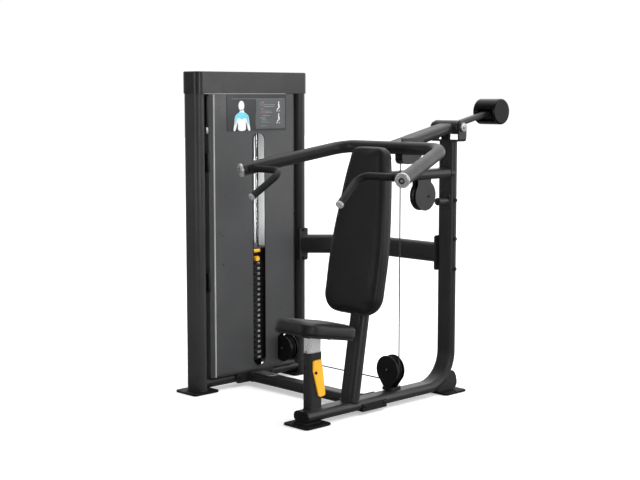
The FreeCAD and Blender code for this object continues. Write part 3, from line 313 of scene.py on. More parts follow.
def chrome(name, col=(0.74, 0.745, 0.755), rough=0.10):
    t = NT(name)
    haze = t.noise(18, 5, 0.65, dist=0.5)
    scr = t.noise(1400, 3, 0.7, t.mapping((1, 1, 0.015)))
    c = t.mix(t.mrange(haze, 0.4, 0.75, 0, 0.4), col, scaled(col, 0.8))
    r = t.math("ADD", t.mrange(haze, 0.3, 0.8, rough - 0.02, rough + 0.09), t.mrange(scr, 0.55, 0.8, 0, 0.08))
    nb, em = edge_mask(t, 0.001)
    return t.set(col=c, rough=r, metal=1.0, normal=t.bump(scr, 0.05, 0.00003, nb))


FRAME_COL = (0.017, 0.017, 0.0185)
M = {}
M["frame_paint"] = powder("frame_paint", FRAME_COL, 0.39)
M["black_paint"] = powder("black_paint", (0.0060, 0.0060, 0.0066), 0.40, wear=0.45)
M["panel_grey"] = powder("panel_grey", (0.060, 0.061, 0.063), 0.32, grain=1900, depth=0.00007, strength=0.20, wear=0.3, scuff=0.0, bevel=0.0008)
M["liner_grey"] = powder("liner_grey", (0.62, 0.625, 0.63), 0.42, var=0.03, bevel=0.0008, grain=1700, depth=0.00008, strength=0.22, wear=0.25, scuff=0.4)
M["plates"] = powder("plates", (0.010, 0.010, 0.011), 0.48, grain=900, depth=0.0002, strength=0.4, wear=0.6)
M["cap_plastic"] = plastic("cap_plastic", (0.019, 0.019, 0.021), 0.32, 620, 0.30)
M["placard"] = plastic("placard", (0.022, 0.024, 0.026), 0.32, 1600, 0.10)
M["black_plastic"] = plastic("black_plastic", (0.0075, 0.0075, 0.008), 0.40, 900, 0.25)
M["pad_vinyl"] = vinyl("pad_vinyl", (0.0040, 0.0040, 0.0043), 0.46)
# the side band's vinyl, a lighter copy of the face vinyl: painted light for the light that falls on the pads' sides
M["pad_side_lit"] = vinyl("pad_side_lit", (0.0052, 0.0052, 0.0056), 0.45)
M["pad_board"] = plastic("pad_board", (0.009, 0.009, 0.0095), 0.45, 500, 0.35)
M["piping"] = rubber("piping", (0.006, 0.006, 0.006), 0.5)
M["rubber"] = rubber("rubber", (0.007, 0.007, 0.007), 0.66)
M["grip_rubber"] = rubber("grip_rubber", (0.0055, 0.0055, 0.006), 0.55)
M["alu"] = brushed("alu", (0.57, 0.575, 0.585), 0.25, "R", metal=0.67)
M["chrome"] = chrome("chrome")
M["steel"] = brushed("steel", (0.34, 0.34, 0.355), 0.32, "R")
M["bolt_black"] = brushed("bolt_black", (0.030, 0.030, 0.033), 0.38, "R", metal=0.6)
M["cable"] = None
M["yellow"] = plastic("yellow", (0.93, 0.46, 0.015), 0.30, 1500, 0.10, 0.0001, 0.5, 0.05)
M["white_print"] = plastic("white_print", (0.82, 0.83, 0.84), 0.40, 1800, 0.08)
M["cyan_print"] = plastic("cyan_print", (0.16, 0.62, 0.78), 0.40, 1800, 0.08)
M["grey_print"] = plastic("grey_print", (0.085, 0.089, 0.093), 0.36, 1700, 0.10)
M["line_print"] = plastic("line_print", (0.26, 0.27, 0.28), 0.40, 1800, 0.08)
M["red_line_print"] = plastic("red_line_print", (0.34, 0.12, 0.11), 0.40, 1800, 0.08)
M["cyan_line_print"] = plastic("cyan_line_print", (0.10, 0.27, 0.31), 0.40, 1800, 0.08)
# pale satin grey for the rolled edge of the front panel: its light colour is a painted highlight along that edge
M["edge_painted_highlight"] = powder("edge_painted_highlight", (0.40, 0.402, 0.408), 0.24, grain=1900, depth=0.00007, strength=0.2, wear=0.3, scuff=0.3)
M["lip_grey"] = powder("lip_grey", (0.030, 0.030, 0.032), 0.40, grain=1900, depth=0.00007, strength=0.2, wear=0.3, scuff=0.3)
M["matte_black"] = powder("matte_black", (0.0045, 0.0045, 0.0050), 0.62, grain=900, depth=0.0002, strength=0.4, wear=0.4, spec=0.22)
M["satin_post"] = brushed("satin_post", (0.70, 0.70, 0.705), 0.26, "Z", metal=0.42, fine=900, strength=0.03)
M["gloss_black"] = powder("gloss_black", (0.0050, 0.0050, 0.0056), 0.17, grain=2400, depth=0.00005, strength=0.12, wear=0.3, scuff=0.25, spec=0.25)
# a lighter copy of the frame paint for the tower columns: painted light, standing in for the light the columns catch
M["column_paint_lit"] = powder("column_paint_lit", (0.030, 0.030, 0.032), 0.40)
M["light_steel"] = brushed("light_steel", (0.62, 0.63, 0.64), 0.35, "X")


def cable_mat():
    """Clear-black nylon over steel rope: twisted strands show through as a fine diagonal ripple."""
    t = NT("cable")
    w = t.wave(520, "DIAGONAL", 0.6)
    g = t.noise(300, 3, 0.6)
    c = t.mix(t.mrange(w, 0.1, 0.9, 0, 1), (0.010, 0.010, 0.011), (0.060, 0.060, 0.064))
    c = t.mix(t.mrange(g, 0.6, 0.8, 0, 0.4), c, (0.09, 0.09, 0.09))
    return t.set(col=c, rough=t.mrange(w, 0, 1, 0.30, 0.42), normal=t.bump(w, 0.35, 0.0004), spec=0.5)


M["cable"] = cable_mat()

SLOT = {s["node"]: s["material_slot"] for s in frame["record"]["subparts"]}
LOOK = dict(SLOT)
LOOK["counterweight"] = "gloss_black"
LOOK["seat_post"] = "satin_post"
# the tower columns take the lighter copy of the frame paint, painted light
LOOK["tower_front_column"] = LOOK["tower_rear_column"] = "column_paint_lit"
for n_ in ("front_foot_plate", "rear_foot_plate", "tower_feet"):
    LOOK[n_] = "matte_black"
for n_, o_ in NODES.items():
    o_.data.materials.clear()
    o_.data.materials.append(M.get(LOOK.get(n_), M["frame_paint"]))


# the rear shroud is pale only on the side that faces the stack; its outside is the panel colour
rs_ = NODES["rear_shroud"]
rs_.data.materials.append(M["panel_grey"])
rl_, rh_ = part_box("rear_shroud")
for p_ in rs_.data.polygons:
    n_w = (rs_.matrix_world.to_3x3() @ p_.normal).normalized()
    c_w = rs_.matrix_world @ p_.center
    inner = n_w.x > 0.5 and c_w.y > rl_.y + 0.012 and c_w.y < rh_.y - 0.012
    p_.material_index = 0 if inner else 1

# the collars at the roots of the grips are painted, only their rims are bright
gm_ = NODES["grip_caps"].data
gm_.materials.append(M["black_paint"])
for p_ in gm_.polygons:
    for sg_ in (1, -1):
        if (NODES["grip_caps"].matrix_world @ p_.center - D(466 * sg_, -366, 1146)).length < 0.045:
            p_.material_index = 1

# a slight swell on the long cable so its strands read at a distance
dm_ = NODES["run_cable"].modifiers.new("swell", "DISPLACE")
dm_.mid_level = 0.0
dm_.strength = 0.0007

# ------------------------------------------------------------------ mesh helpers
def new_mesh(name, verts, faces, mat, body="frame", slot=None, smooth=True, angle=None):
    me = bpy.data.meshes.new(name)
    me.from_pydata([tuple(v) for v in verts], [], faces)
    bm = bmesh.new()
    bm.from_mesh(me)
    bmesh.ops.remove_doubles(bm, verts=bm.verts, dist=1e-6)
    bmesh.ops.recalc_face_normals(bm, faces=bm.faces)
    bm.to_mesh(me)
    bm.free()
    for p in me.polygons:
        p.use_smooth = smooth
    if smooth and angle:
        me.set_sharp_from_angle(angle=math.radians(angle))
    me.materials.append(mat)
    o = bpy.data.objects.new(name, me)
    scene.collection.objects.link(o)
    if body:
        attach(o, body)
    return o


def basis(d):
    d = Vector(d).normalized()
    a = Vector((0, 0, 1)) if abs(d.z) < 0.9 else Vector((1, 0, 0))
    u = d.cross(a).normalized()
    return u, d.cross(u).normalized(), d


def lathe_geo(p, d, prof, segs=48, squash=None):
    """Vertices and faces of a closed turned piece; prof is [(radius, distance along d)], ends at radius 0 or closed by a face."""
    u, v, d = basis(d)
    p = Vector(p)
    vs, fs, rings = [], [], []
    for r, h in prof:
        ring = []
        if r < 1e-7:
            ring = [len(vs)]
            vs.append(p + d * h)
        else:
            for i in range(segs):
                a = 2 * math.pi * i / segs
                ring.append(len(vs))
                vs.append(p + d * h + (u * math.cos(a) + v * math.sin(a)) * r)
        rings.append(ring)
    for a, b in zip(rings, rings[1:]):
        if len(a) == 1 and len(b) == 1:
            continue
        for i in range(segs):
            j = (i + 1) % segs
            if len(a) == 1:
                fs.append((a[0], b[i], b[j]))
            elif len(b) == 1:
                fs.append((a[i], a[j], b[0]))
            else:
                fs.append((a[i], a[j], b[j], b[i]))
    if len(rings[0]) > 1:
        fs.append(tuple(reversed(rings[0])))
    if len(rings[-1]) > 1:
        fs.append(tuple(rings[-1]))
    return vs, fs


def join_geo(parts):
    vs, fs = [], []
    for v, f in parts:
        k = len(vs)
        vs += list(v)
        fs += [tuple(i + k for i in q) for q in f]
    return vs, fs


def socket_screw(p, d, r=0.006, h=0.0035, hexr=None):
    """Button head screw with a hexagon socket."""
    hexr = hexr or r * 0.45
    u, v, dn = basis(d)
    p = Vector(p)
    segs = 36
    prof = [(r, 0), (r, h * 0.35), (r * 0.93, h * 0.65), (r * 0.78, h * 0.88), (r * 0.62, h)]
    vs, fs, rings = [], [], []
    for rr, hh in prof:
        ring = []
        for i in range(segs):
            a = 2 * math.pi * i / segs
            ring.append(len(vs))
            vs.append(p + dn * hh + (u * math.cos(a) + v * math.sin(a)) * rr)
        rings.append(ring)

    def hexring(rad, hh):
        ring = []
        for i in range(segs):
            a = 2 * math.pi * i / segs
            s = (a % (math.pi / 3)) - math.pi / 6
            rr = rad * math.cos(math.pi / 6) / math.cos(s)
            ring.append(len(vs))
            vs.append(p + dn * hh + (u * math.cos(a) + v * math.sin(a)) * rr)
        return ring
    rings.append(hexring(hexr, h))
    rings.append(hexring(hexr * 0.94, h * 0.25))
    for a, b in zip(rings, rings[1:]):
        for i in range(segs):
            j = (i + 1) % segs
            fs.append((a[i], a[j], b[j], b[i]))
    fs.append(tuple(reversed(rings[0])))
    fs.append(tuple(rings[-1]))
    return vs, fs


def rbox_geo(c, u, v, w, size, r=0.002, seg=3):
    """Box with rounded edges about centre c, half of size along unit axes u, v, w."""
    bm = bmesh.new()
    bmesh.ops.create_cube(bm, size=1.0)
    for q in bm.verts:
        q.co = Vector((q.co.x * size[0], q.co.y * size[1], q.co.z * size[2]))
    bmesh.ops.bevel(bm, geom=list(bm.edges), offset=min(r, min(size) * 0.45), segments=seg, affect="EDGES", profile=0.5)
    u, v, w = Vector(u).normalized(), Vector(v).normalized(), Vector(w).normalized()
    bm.verts.ensure_lookup_table()
    vs = [Vector(c) + u * q.co.x + v * q.co.y + w * q.co.z for q in bm.verts]
    fs = [tuple(x.index for x in f.verts) for f in bm.faces]
    bm.free()
    return vs, fs


def tube_geo(pts, radii, segs=24, closed=False, caps=True, wob=None):
    """Swept round tube with parallel-transported rings."""
    pts = [Vector(p) for p in pts]
    n = len(pts)
    if isinstance(radii, (int, float)):
        radii = [radii] * n
    tans = []
    for i in range(n):
        a = pts[(i - 1) % n] if (closed or i > 0) else pts[i]
        b = pts[(i + 1) % n] if (closed or i < n - 1) else pts[i]
        tans.append((b - a).normalized())
    u, v, _ = basis(tans[0])
    vs, fs, rings = [], [], []
    for i in range(n):
        if i:
            ax = tans[i - 1].cross(tans[i])
            if ax.length > 1e-9:
                ang = tans[i - 1].angle(tans[i])
                rot = Matrix.Rotation(ang, 3, ax.normalized())
                u = rot @ u
            u = (u - tans[i] * u.dot(tans[i])).normalized()
        v = tans[i].cross(u)
        ring = []
        for k in range(segs):
            a = 2 * math.pi * k / segs
            ring.append(len(vs))
            vs.append(pts[i] + (u * math.cos(a) + v * math.sin(a)) * radii[i])
        rings.append(ring)
    m = n if closed else n - 1
    off = 0
    if closed:
        # match the seam ring to the first ring
        best = min(range(segs), key=lambda s: sum((vs[rings[-1][(k + s) % segs]] - vs[rings[0][k]]).length for k in range(0, segs, 3)))
        off = best
    for i in range(m):
        a, b = rings[i], rings[(i + 1) % n]
        last = closed and i == n - 1
        for k in range(segs):
            k2 = (k + 1) % segs
            if last:
                fs.append((a[(k + off) % segs], a[(k2 + off) % segs], b[k2], b[k]))
            else:
                fs.append((a[k], a[k2], b[k2], b[k]))
    if caps and not closed:
        fs.append(tuple(reversed(rings[0])))
        fs.append(tuple(rings[-1]))
    return vs, fs


def fillet_poly(points, radii, step=0.004):
    """Points along straight runs joined by arcs."""
    pts = [Vector(p) for p in points]
    out = [pts[0]]
    for i in range(1, len(pts) - 1):
        p, a, b = pts[i], pts[i - 1], pts[i + 1]
        da, db = (a - p).normalized(), (b - p).normalized()
        ang = da.angle(db)
        r = radii[i - 1]
        t = r / math.tan(ang / 2)
        ta, tb = p + da * t, p + db * t
        c = p + (da + db).normalized() * (r / math.sin(ang / 2))
        seg = ta - out[-1]
        k = max(1, int(seg.length / step))
        out += [out[-1] + seg * (j / k) for j in range(1, k + 1)]
        va, vb = ta - c, tb - c
        tot = va.angle(vb)
        ax = va.cross(vb).normalized()
        k = max(4, int(tot * r / step))
        out += [c + Matrix.Rotation(tot * j / k, 3, ax) @ va for j in range(1, k + 1)]
    seg = pts[-1] - out[-1]
    k = max(1, int(seg.length / step))
    o0 = out[-1]
    out += [o0 + seg * (j / k) for j in range(1, k + 1)]
    return out



# ------------------------------------------------------------------ cushions
PAD_A = math.radians(10.0)
SEAT_A = math.radians(10.0)


class Face:
    """Local frame of a cushion: origin on its face, u across, s along, n out of the face."""

    def __init__(self, o, u, s, n):
        self.o, self.u, self.s, self.n = Vector(o), Vector(u).normalized(), Vector(s).normalized(), Vector(n).normalized()

    def p(self, a, b, c):
        return self.o + self.u * a + self.s * b + self.n * c

    def loc(self, q):
        d = Vector(q) - self.o
        return d.dot(self.u), d.dot(self.s), d.dot(self.n)


BACK = Face(D(0, -182, 590), (1, 0, 0), (0, math.sin(PAD_A), math.cos(PAD_A)), (0, -math.cos(PAD_A), math.sin(PAD_A)))
SEAT = Face(D(0, -397, 465), (1, 0, 0), (0, math.cos(SEAT_A), -math.sin(SEAT_A)), (0, math.sin(SEAT_A), math.cos(SEAT_A)))


def node_outline(node, f, depth, count):
    """Outline of a CAD solid on the plane n = depth of a face frame, evenly resampled."""
    pts = set()
    for v in NODES[node].data.vertices:
        a, b, c = f.loc(v.co)
        if abs(c - depth) < 3e-4:
            pts.add((round(a, 5), round(b, 5)))
    pts = list(pts)
    ca = sum(p[0] for p in pts) / len(pts)
    cb = (min(p[1] for p in pts) + max(p[1] for p in pts)) / 2
    pts.sort(key=lambda p: math.atan2(p[1] - cb, p[0] - ca))
    return resample(pts, count)


def resample(pts, count):
    a = np.array(pts + [pts[0]], float)
    seg = np.hypot(*(a[1:] - a[:-1]).T)
    cum = np.concatenate([[0], np.cumsum(seg)])
    t = np.linspace(0, cum[-1], count, endpoint=False)
    return np.stack([np.interp(t, cum, a[:, 0]), np.interp(t, cum, a[:, 1])], 1)


def inset(poly, d):
    """Moves an outline inwards by d along its smoothed normals."""
    p = np.array(poly)
    t = np.roll(p, -1, 0) - np.roll(p, 1, 0)
    n = np.stack([-t[:, 1], t[:, 0]], 1)
    n /= np.linalg.norm(n, axis=1)[:, None] + 1e-12
    if ((p.mean(0) - p) * n).sum() < 0:
        n = -n
    return p + n * d


def cushion(name, f, outline, thick, node, body, crown, cap, edge_r, seam_in, voxel=0.005, side_mat=None,
            back_gap=0.0, lean=0.0008):
    """Padded piece: closed slab, remeshed, inflated by a short cloth simulation with the movement capped, then seams."""
    prof = [(edge_r * 0.5 + 0.001, -thick), (0.0015, -thick + 0.002), (0.0, -thick + 0.006), (0.0, -edge_r)]
    for i in range(1, 7):
        a = math.pi / 2 * i / 6
        prof.append((edge_r - edge_r * math.cos(a) + lean, -edge_r + edge_r * math.sin(a) - 0.0005))
    vs, fs, rings = [], [], []
    for ins, n in prof:
        r = inset(outline, ins + 0.0012)
        ring = []
        for a, b in r:
            ring.append(len(vs))
            vs.append(f.p(a, b, n))
        rings.append(ring)
    m = len(rings[0])
    for a, b in zip(rings, rings[1:]):
        for i in range(m):
            j = (i + 1) % m
            fs.append((a[i], a[j], b[j], b[i]))
    cx, cy = outline.mean(0)
    for ring, n in ((rings[0], prof[0][1]), (rings[-1], prof[-1][1])):
        c = len(vs)
        vs.append(f.p(cx, cy, n))
        for i in range(m):
            fs.append((ring[i], ring[(i + 1) % m], c))
    base = new_mesh(name + "_base", vs, fs, M["pad_vinyl"], None)
    md = base.modifiers.new("r", "REMESH")
    md.mode = "VOXEL"
    md.voxel_size = voxel
    md.use_smooth_shade = True
    bpy.context.view_layer.update()
    dg = bpy.context.evaluated_depsgraph_get()
    me = bpy.data.meshes.new_from_object(base.evaluated_get(dg))
    base.modifiers.clear()
    old = base.data
    base.data = me
    bpy.data.meshes.remove(old)
    rest = np.array([v.co for v in me.vertices], float)
    loc = np.stack([(rest - np.array(f.o)) @ np.array(x) for x in (f.u, f.s, f.n)], 1)
    moved = rest.copy()
    g = base.vertex_groups.new(name="pin")
    for i, c in enumerate(loc[:, 2]):
        w = 1.0 if c < -thick + 0.008 else max(0.0, 1.0 - (c + thick - 0.008) / 0.014)
        if w > 0:
            g.add([i], w, "REPLACE")
    cl = base.modifiers.new("cloth", "CLOTH")
    s = cl.settings
    s.quality = 5
    s.mass = 0.25
    s.tension_stiffness = 22
    s.compression_stiffness = 22
    s.shear_stiffness = 12
    s.bending_stiffness = 2.0
    s.use_pressure = True
    s.uniform_pressure_force = 4.0
    s.vertex_group_mass = "pin"
    s.effector_weights.gravity = 0.0
    cl.collision_settings.use_collision = False
    cl.point_cache.frame_start, cl.point_cache.frame_end = 1, 20
    for fr in range(1, 21):
        scene.frame_set(fr)
    dg = bpy.context.evaluated_depsgraph_get()
    ev = base.evaluated_get(dg)
    moved = np.array([v.co for v in ev.data.vertices], float)
    base.modifiers.clear()
    scene.frame_set(1)
    d = moved - rest
    ln = np.linalg.norm(d, axis=1)
    k = np.where(ln > cap, cap / np.maximum(ln, 1e-9), 1.0)
    d *= k[:, None]
    # even out the cloth's displacement over neighbouring points, so no facet or fold of the coarse mesh shows
    ev_ = np.empty(len(me.edges) * 2, dtype=np.int64)
    me.edges.foreach_get("vertices", ev_)
    ea, eb = ev_[0::2], ev_[1::2]
    cnt = np.bincount(ea, minlength=len(d)) + np.bincount(eb, minlength=len(d))

    def spread(f_, times, k_):
        for _ in range(times):
            acc_ = np.zeros_like(f_)
            np.add.at(acc_, ea, f_[eb])
            np.add.at(acc_, eb, f_[ea])
            f_ = f_ * (1 - k_) + k_ * acc_ / np.maximum(cnt, 1)[:, None]
        return f_

    d = spread(d, 24, 0.6)
    co = spread(rest, 2, 0.35) + d
    # a firm pad: a gentle crown in the middle of the face
    uu, ss = loc[:, 0], loc[:, 1]
    ed = edge_distance(outline, uu, ss)
    face = np.clip((loc[:, 2] + edge_r) / edge_r, 0, 1)
    crown_h = crown * (1 - np.exp(-ed / 0.035)) * face
    co += crown_h[:, None] * np.array(f.n)
    # sewn line where the face panel meets the side band, a narrow valley
    valley = np.exp(-((ed - seam_in) / 0.0035) ** 2) * (loc[:, 2] > -edge_r * 0.9)
    co -= (valley * 0.0016)[:, None] * np.array(f.n)
    nl = (co - np.array(f.o)) @ np.array(f.n)
    me.vertices.foreach_set("co", co.astype(np.float32).ravel())
    me.update()
    for p in me.polygons:
        p.use_smooth = True
    me.materials.clear()
    me.materials.append(M["pad_vinyl"])
    me.materials.append(side_mat or M["pad_side_lit"])
    # faces of the side band take the lighter vinyl: painted light on the pads' sides
    cen = np.array([p.center for p in me.polygons])
    pl = np.stack([(cen - np.array(f.o)) @ np.array(x) for x in (f.u, f.s, f.n)], 1)
    ped = edge_distance(outline, pl[:, 0], pl[:, 1])
    for p, e, c in zip(me.polygons, ped, pl[:, 2]):
        p.material_index = 1 if (e < seam_in or c < -edge_r) else 0
    base.name = name
    sm = base.modifiers.new("soft", "SMOOTH")
    sm.factor, sm.iterations = 0.4, 2
    sb = base.modifiers.new("sub", "SUBSURF")
    sb.levels = sb.render_levels = 1
    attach(base, body)
    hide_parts(node)
    return base, prof


def edge_distance(poly, x, y):
    """Distance from points to a closed outline."""
    best = np.full(len(x), 1e9)
    q = np.roll(poly, -1, 0)
    for (ax, ay), (bx, by) in zip(poly, q):
        dx, dy = bx - ax, by - ay
        t = np.clip(((x - ax) * dx + (y - ay) * dy) / (dx * dx + dy * dy + 1e-12), 0, 1)
        best = np.minimum(best, np.hypot(x - ax - t * dx, y - ay - t * dy))
    return best


back_line = node_outline("back_pad", BACK, -0.050, 220)
back_pad, _ = cushion("back_cushion", BACK, back_line, 0.050, "back_pad", "frame", 0.0035, 0.005, 0.012, 0.016)
seat_line = node_outline("seat_pad", SEAT, -0.052, 180)
seat_pad, _ = cushion("seat_cushion", SEAT, seat_line, 0.052, "seat_pad", "seat_carriage", 0.0040, 0.005, 0.009, 0.013)


def welt(name, f, outline, ins, n, r, body, mat, lift=0.0):
    """Sewn welt along an inset of the outline: a thin cord whose thickness ripples slightly."""
    ring = inset(resample([tuple(p) for p in outline], 420), ins)
    pts = [f.p(a, b, n) for a, b in ring]
    rad = [r * (1 + 0.10 * math.sin(i * 1.57)) for i in range(len(pts))]
    vs, fs = tube_geo(pts, rad, 8, closed=True)
    o = new_mesh(name, vs, fs, mat, body, "pad_vinyl")
    return o


def stitches(name, f, outline, ins, n, body, mat, pitch=0.006, ln=0.0038, r=0.0005):
    """A row of single thread stitches."""
    ring = inset(resample([tuple(p) for p in outline], 600), ins)
    per = np.hypot(*(np.roll(ring, -1, 0) - ring).T)
    cum = np.concatenate([[0], np.cumsum(per)])
    xs = np.append(ring[:, 0], ring[0, 0])
    ys = np.append(ring[:, 1], ring[0, 1])
    k = int(cum[-1] / pitch)
    parts = []
    for i in range(k):
        a, b = cum[-1] * i / k, cum[-1] * i / k + ln
        p = [f.p(np.interp(t, cum, xs), np.interp(t, cum, ys), n + h) for t, h in ((a, -0.0004), (a + ln * .3, 0.0003), (a + ln * .7, 0.0003), (b, -0.0004))]
        parts.append(tube_geo(p, r, 5))
    vs, fs = join_geo(parts)
    return new_mesh(name, vs, fs, mat, body, "pad_vinyl")


M["thread"] = rubber("thread", (0.030, 0.030, 0.031), 0.7)

# ------------------------------------------------------------------ hand grips
gpath = fillet_poly([D(466, -366, 1146), D(250, -371, 1145), D(284, -530, 1030)], [0.050], 0.002)
arm_dirx = (D(250, -371, 1145) - D(466, -366, 1146)).normalized()


def grip_piece(name, mirror):
    pts = [Vector(p) for p in gpath]
    if mirror:
        pts = [Vector((2 * SX - p.x, p.y, p.z)) for p in pts]
    cut = 0.022
    acc, keep = 0, []
    for i, p in enumerate(pts):
        if i:
            acc += (p - pts[i - 1]).length
        if acc >= cut:
            keep.append((p, acc))
    total = keep[-1][1]
    rad = []
    for p, s in keep:
        e = min(s - cut, total - s)
        r = 0.0163
        if e < 0.004:
            r = 0.0148 + 0.0015 * (e / 0.004)
        # fine rings pressed into the sleeve, and three wider grooves near its end
        r += 0.00022 * math.sin(s / 0.0045 * 2 * math.pi)
        for g in (0.014, 0.021, 0.028):
            r -= 0.0007 * math.exp(-((total - s - g) / 0.0012) ** 2)
        rad.append(r)
    vs, fs = tube_geo([p for p, _ in keep], rad, 40)
    o = new_mesh(name, vs, fs, M["grip_rubber"], "press_arm", "grip_rubber")
    return o


g1 = grip_piece("grip_sleeve_left", False)
g2 = grip_piece("grip_sleeve_right", True)
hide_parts("arm_grips")
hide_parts("arm_grips")

# ------------------------------------------------------------------ straight cables in place of the CAD cables


def strut_cable(name, p0, p1, r, split, node):
    """A straight cable with rings only near its ends, so it stays straight as one end moves."""
    u, v, d = basis(p1 - p0)
    segs, vs, fs, rings = 20, [], [], []
    L = (p1 - p0).length
    for h in (0.0, 0.002, L - 0.002, L):
        ring = []
        for i in range(segs):
            an = 2 * math.pi * i / segs
            ring.append(len(vs))
            vs.append(p0 + d * h + (u * math.cos(an) + v * math.sin(an)) * r)
        rings.append(ring)
    for x, y in zip(rings, rings[1:]):
        for i in range(segs):
            j = (i + 1) % segs
            fs.append((x[i], x[j], y[j], y[i]))
    fs.append(tuple(reversed(rings[0])))
    fs.append(tuple(rings[-1]))
    o = new_mesh(name, vs, fs, M["cable"], None, "cable", True, 50)
    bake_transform(o)
    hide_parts(node)
    return o


clo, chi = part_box("arm_cable")
ccx, ccy = (clo.x + chi.x) / 2, (clo.y + chi.y) / 2
strut_cable("arm_cable_run", Vector((ccx, ccy, clo.z)), Vector((ccx, ccy, chi.z)), 0.0029, None, "arm_cable")
slo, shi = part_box("stack_cable")
scx, scy = (slo.x + shi.x) / 2, (slo.y + shi.y) / 2
strut_cable("stack_cable_run", Vector((scx, scy, shi.z)), Vector((scx, scy, slo.z)), 0.0025, None, "stack_cable")

# ------------------------------------------------------------------ fittings and fasteners
X, Y, Z = Vector((1, 0, 0)), Vector((0, 1, 0)), Vector((0, 0, 1))


def mir(p):
    return Vector((2 * SX - p.x, p.y, p.z))


# turned faces and socket screws on the arm's end caps
arm_dir = Vector((517 - 312, -389 - 108, 1138 - 1245)).normalized()
for nm, sgn in (("left", 1), ("right", -1)):
    e = D(517 * sgn, -389, 1138)
    d = Vector((arm_dir.x * sgn, arm_dir.y, arm_dir.z))
    v1 = lathe_geo(e + d * 0.0115, d, [(0.0200, 0), (0.0200, 0.0020), (0.0185, 0.0026), (0.0115, 0.0026), (0.0105, 0.0018), (0.0, 0.0018)], 48)
    v2 = socket_screw(e + d * 0.0130, d, 0.0068, 0.0034)
    new_mesh("arm_cap_face_" + nm, *join_geo([v1, v2]), M["alu"], "press_arm", "alu", True, 35)
    groove = lathe_geo(e + d * 0.0141, d, [(0.0136, 0), (0.0136, 0.0006), (0.0120, 0.0006), (0.0120, 0)], 48)
    new_mesh("arm_cap_groove_" + nm, *groove, M["black_plastic"], "press_arm", "black_plastic", True, 35)
    gd = Vector((284 - 250, -530 + 371, 1030 - 1145)).normalized()
    gd = Vector((gd.x * sgn, gd.y, gd.z))
    ge = D(284 * sgn, -530, 1030)
    rings = lathe_geo(ge - gd * 0.0035, gd, [(0.0150, 0), (0.0182, 0.0004), (0.0182, 0.0028), (0.0150, 0.0032)], 48)
    scr = socket_screw(ge + gd * 0.0080, gd, 0.0050, 0.0016)
    new_mesh("grip_cap_ring_" + nm, *join_geo([rings, scr]), M["alu"], "press_arm", "alu", True, 35)

# pivot ends: pressed disc with a socket and a fine outer ring
for nm, sgn in (("left", 1), ("right", -1)):
    c = D(99 * sgn, 518, 1335)
    d = X * sgn
    disc = lathe_geo(c - d * 0.001, d, [(0.0195, 0), (0.0195, 0.0016), (0.0180, 0.0024), (0.0110, 0.0024), (0.0100, 0.0014), (0.0, 0.0014)], 56)
    scr = socket_screw(c + d * 0.0002, d, 0.0088, 0.0040)
    new_mesh("pivot_disc_" + nm, *join_geo([disc, scr]), M["light_steel"], "frame", "steel", True, 35)

# saddle bolts, guard screws, seat fixings
geo = []
for y in (-62.5 - 66, -62.5 + 66):
    geo.append(socket_screw(D(55, y, 40), X, 0.0085, 0.0050))
    geo.append(socket_screw(D(-55, y, 40), -X, 0.0085, 0.0050))
new_mesh("saddle_bolts", *join_geo(geo), M["bolt_black"], "frame", "bolt_black", True, 35)
geo = [socket_screw(D(-19, 125 - 29, 168), -Y, 0.0070, 0.0030), socket_screw(D(-19, 125 + 29, 168), Y, 0.0070, 0.0030),
       socket_screw(D(-770, 125 - 29, 168), -Y, 0.0070, 0.0030), socket_screw(D(-770, 125 + 29, 168), Y, 0.0070, 0.0030)]
new_mesh("pulley_axle_screws", *join_geo(geo), M["steel"], "frame", "steel", True, 35)
geo = [socket_screw(D(29, 341, 1002), X, 0.0070, 0.0032), socket_screw(D(-9, 341, 1002), -X, 0.0070, 0.0032)]
new_mesh("idler_axle_screws", *join_geo(geo), M["bolt_black"], "frame", "bolt_black", True, 35)
geo = []
for y in (-22, 22):
    pass
lplo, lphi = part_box("lever_pin")
geo = [socket_screw(Vector((lphi.x, D(0, -434, 0).y, D(0, 0, 244).z)), X, 0.0058, 0.0028),
       socket_screw(D(-6, -462, 268), -Y, 0.0060, 0.0030), socket_screw(D(-6, -462, 268), -Y, 0.0060, 0.0030)]
new_mesh("lever_pivot_screw", *join_geo(geo), M["bolt_black"], "frame", "bolt_black", True, 35)

# bolt heads under the seat board, found by casting up onto its underside
geo = []
for bx, by in ((26, -339), (-26, -339), (26, -470), (-26, -470)):
    cobj = NODES["seat_carrier"]
    inv = cobj.matrix_world.inverted()
    ok_, hit_, nn_, _i = cobj.ray_cast(inv @ D(bx, by, 300), (inv.to_3x3() @ Z).normalized())
    if ok_:
        geo.append(socket_screw(cobj.matrix_world @ hit_, Vector((0, -math.sin(SEAT_A), -math.cos(SEAT_A))), 0.0075, 0.0050))
if geo:
    new_mesh("seat_board_bolts", *join_geo(geo), M["bolt_black"], "seat_carriage", "bolt_black", True, 35)

# weld beads where tubes meet


def bead(name, pts, body="frame", r=0.0032, closed=True, slot="frame_paint"):
    """A weld bead: overlapping ripples along the joint line, painted over."""
    pts = [Vector(p) for p in pts]
    n = len(pts)
    rad = [r * (1 + 0.16 * abs(math.sin(i * 0.9)) + 0.06 * math.sin(i * 0.37)) for i in range(n)]
    vs, fs = tube_geo(pts, rad, 10, closed=closed)
    return new_mesh(name, vs, fs, M["frame_paint"], body, slot)


def ring_pts(c, u, v, a, b, n=140, power=2.0):
    """Points of an ellipse or rounded box about c."""
    out = []
    for i in range(n):
        t = 2 * math.pi * i / n
        ct, st = math.cos(t), math.sin(t)
        k = (abs(ct) ** power + abs(st) ** power) ** (-1 / power)
        out.append(Vector(c) + Vector(u) * (a * ct * k) + Vector(v) * (b * st * k))
    return out


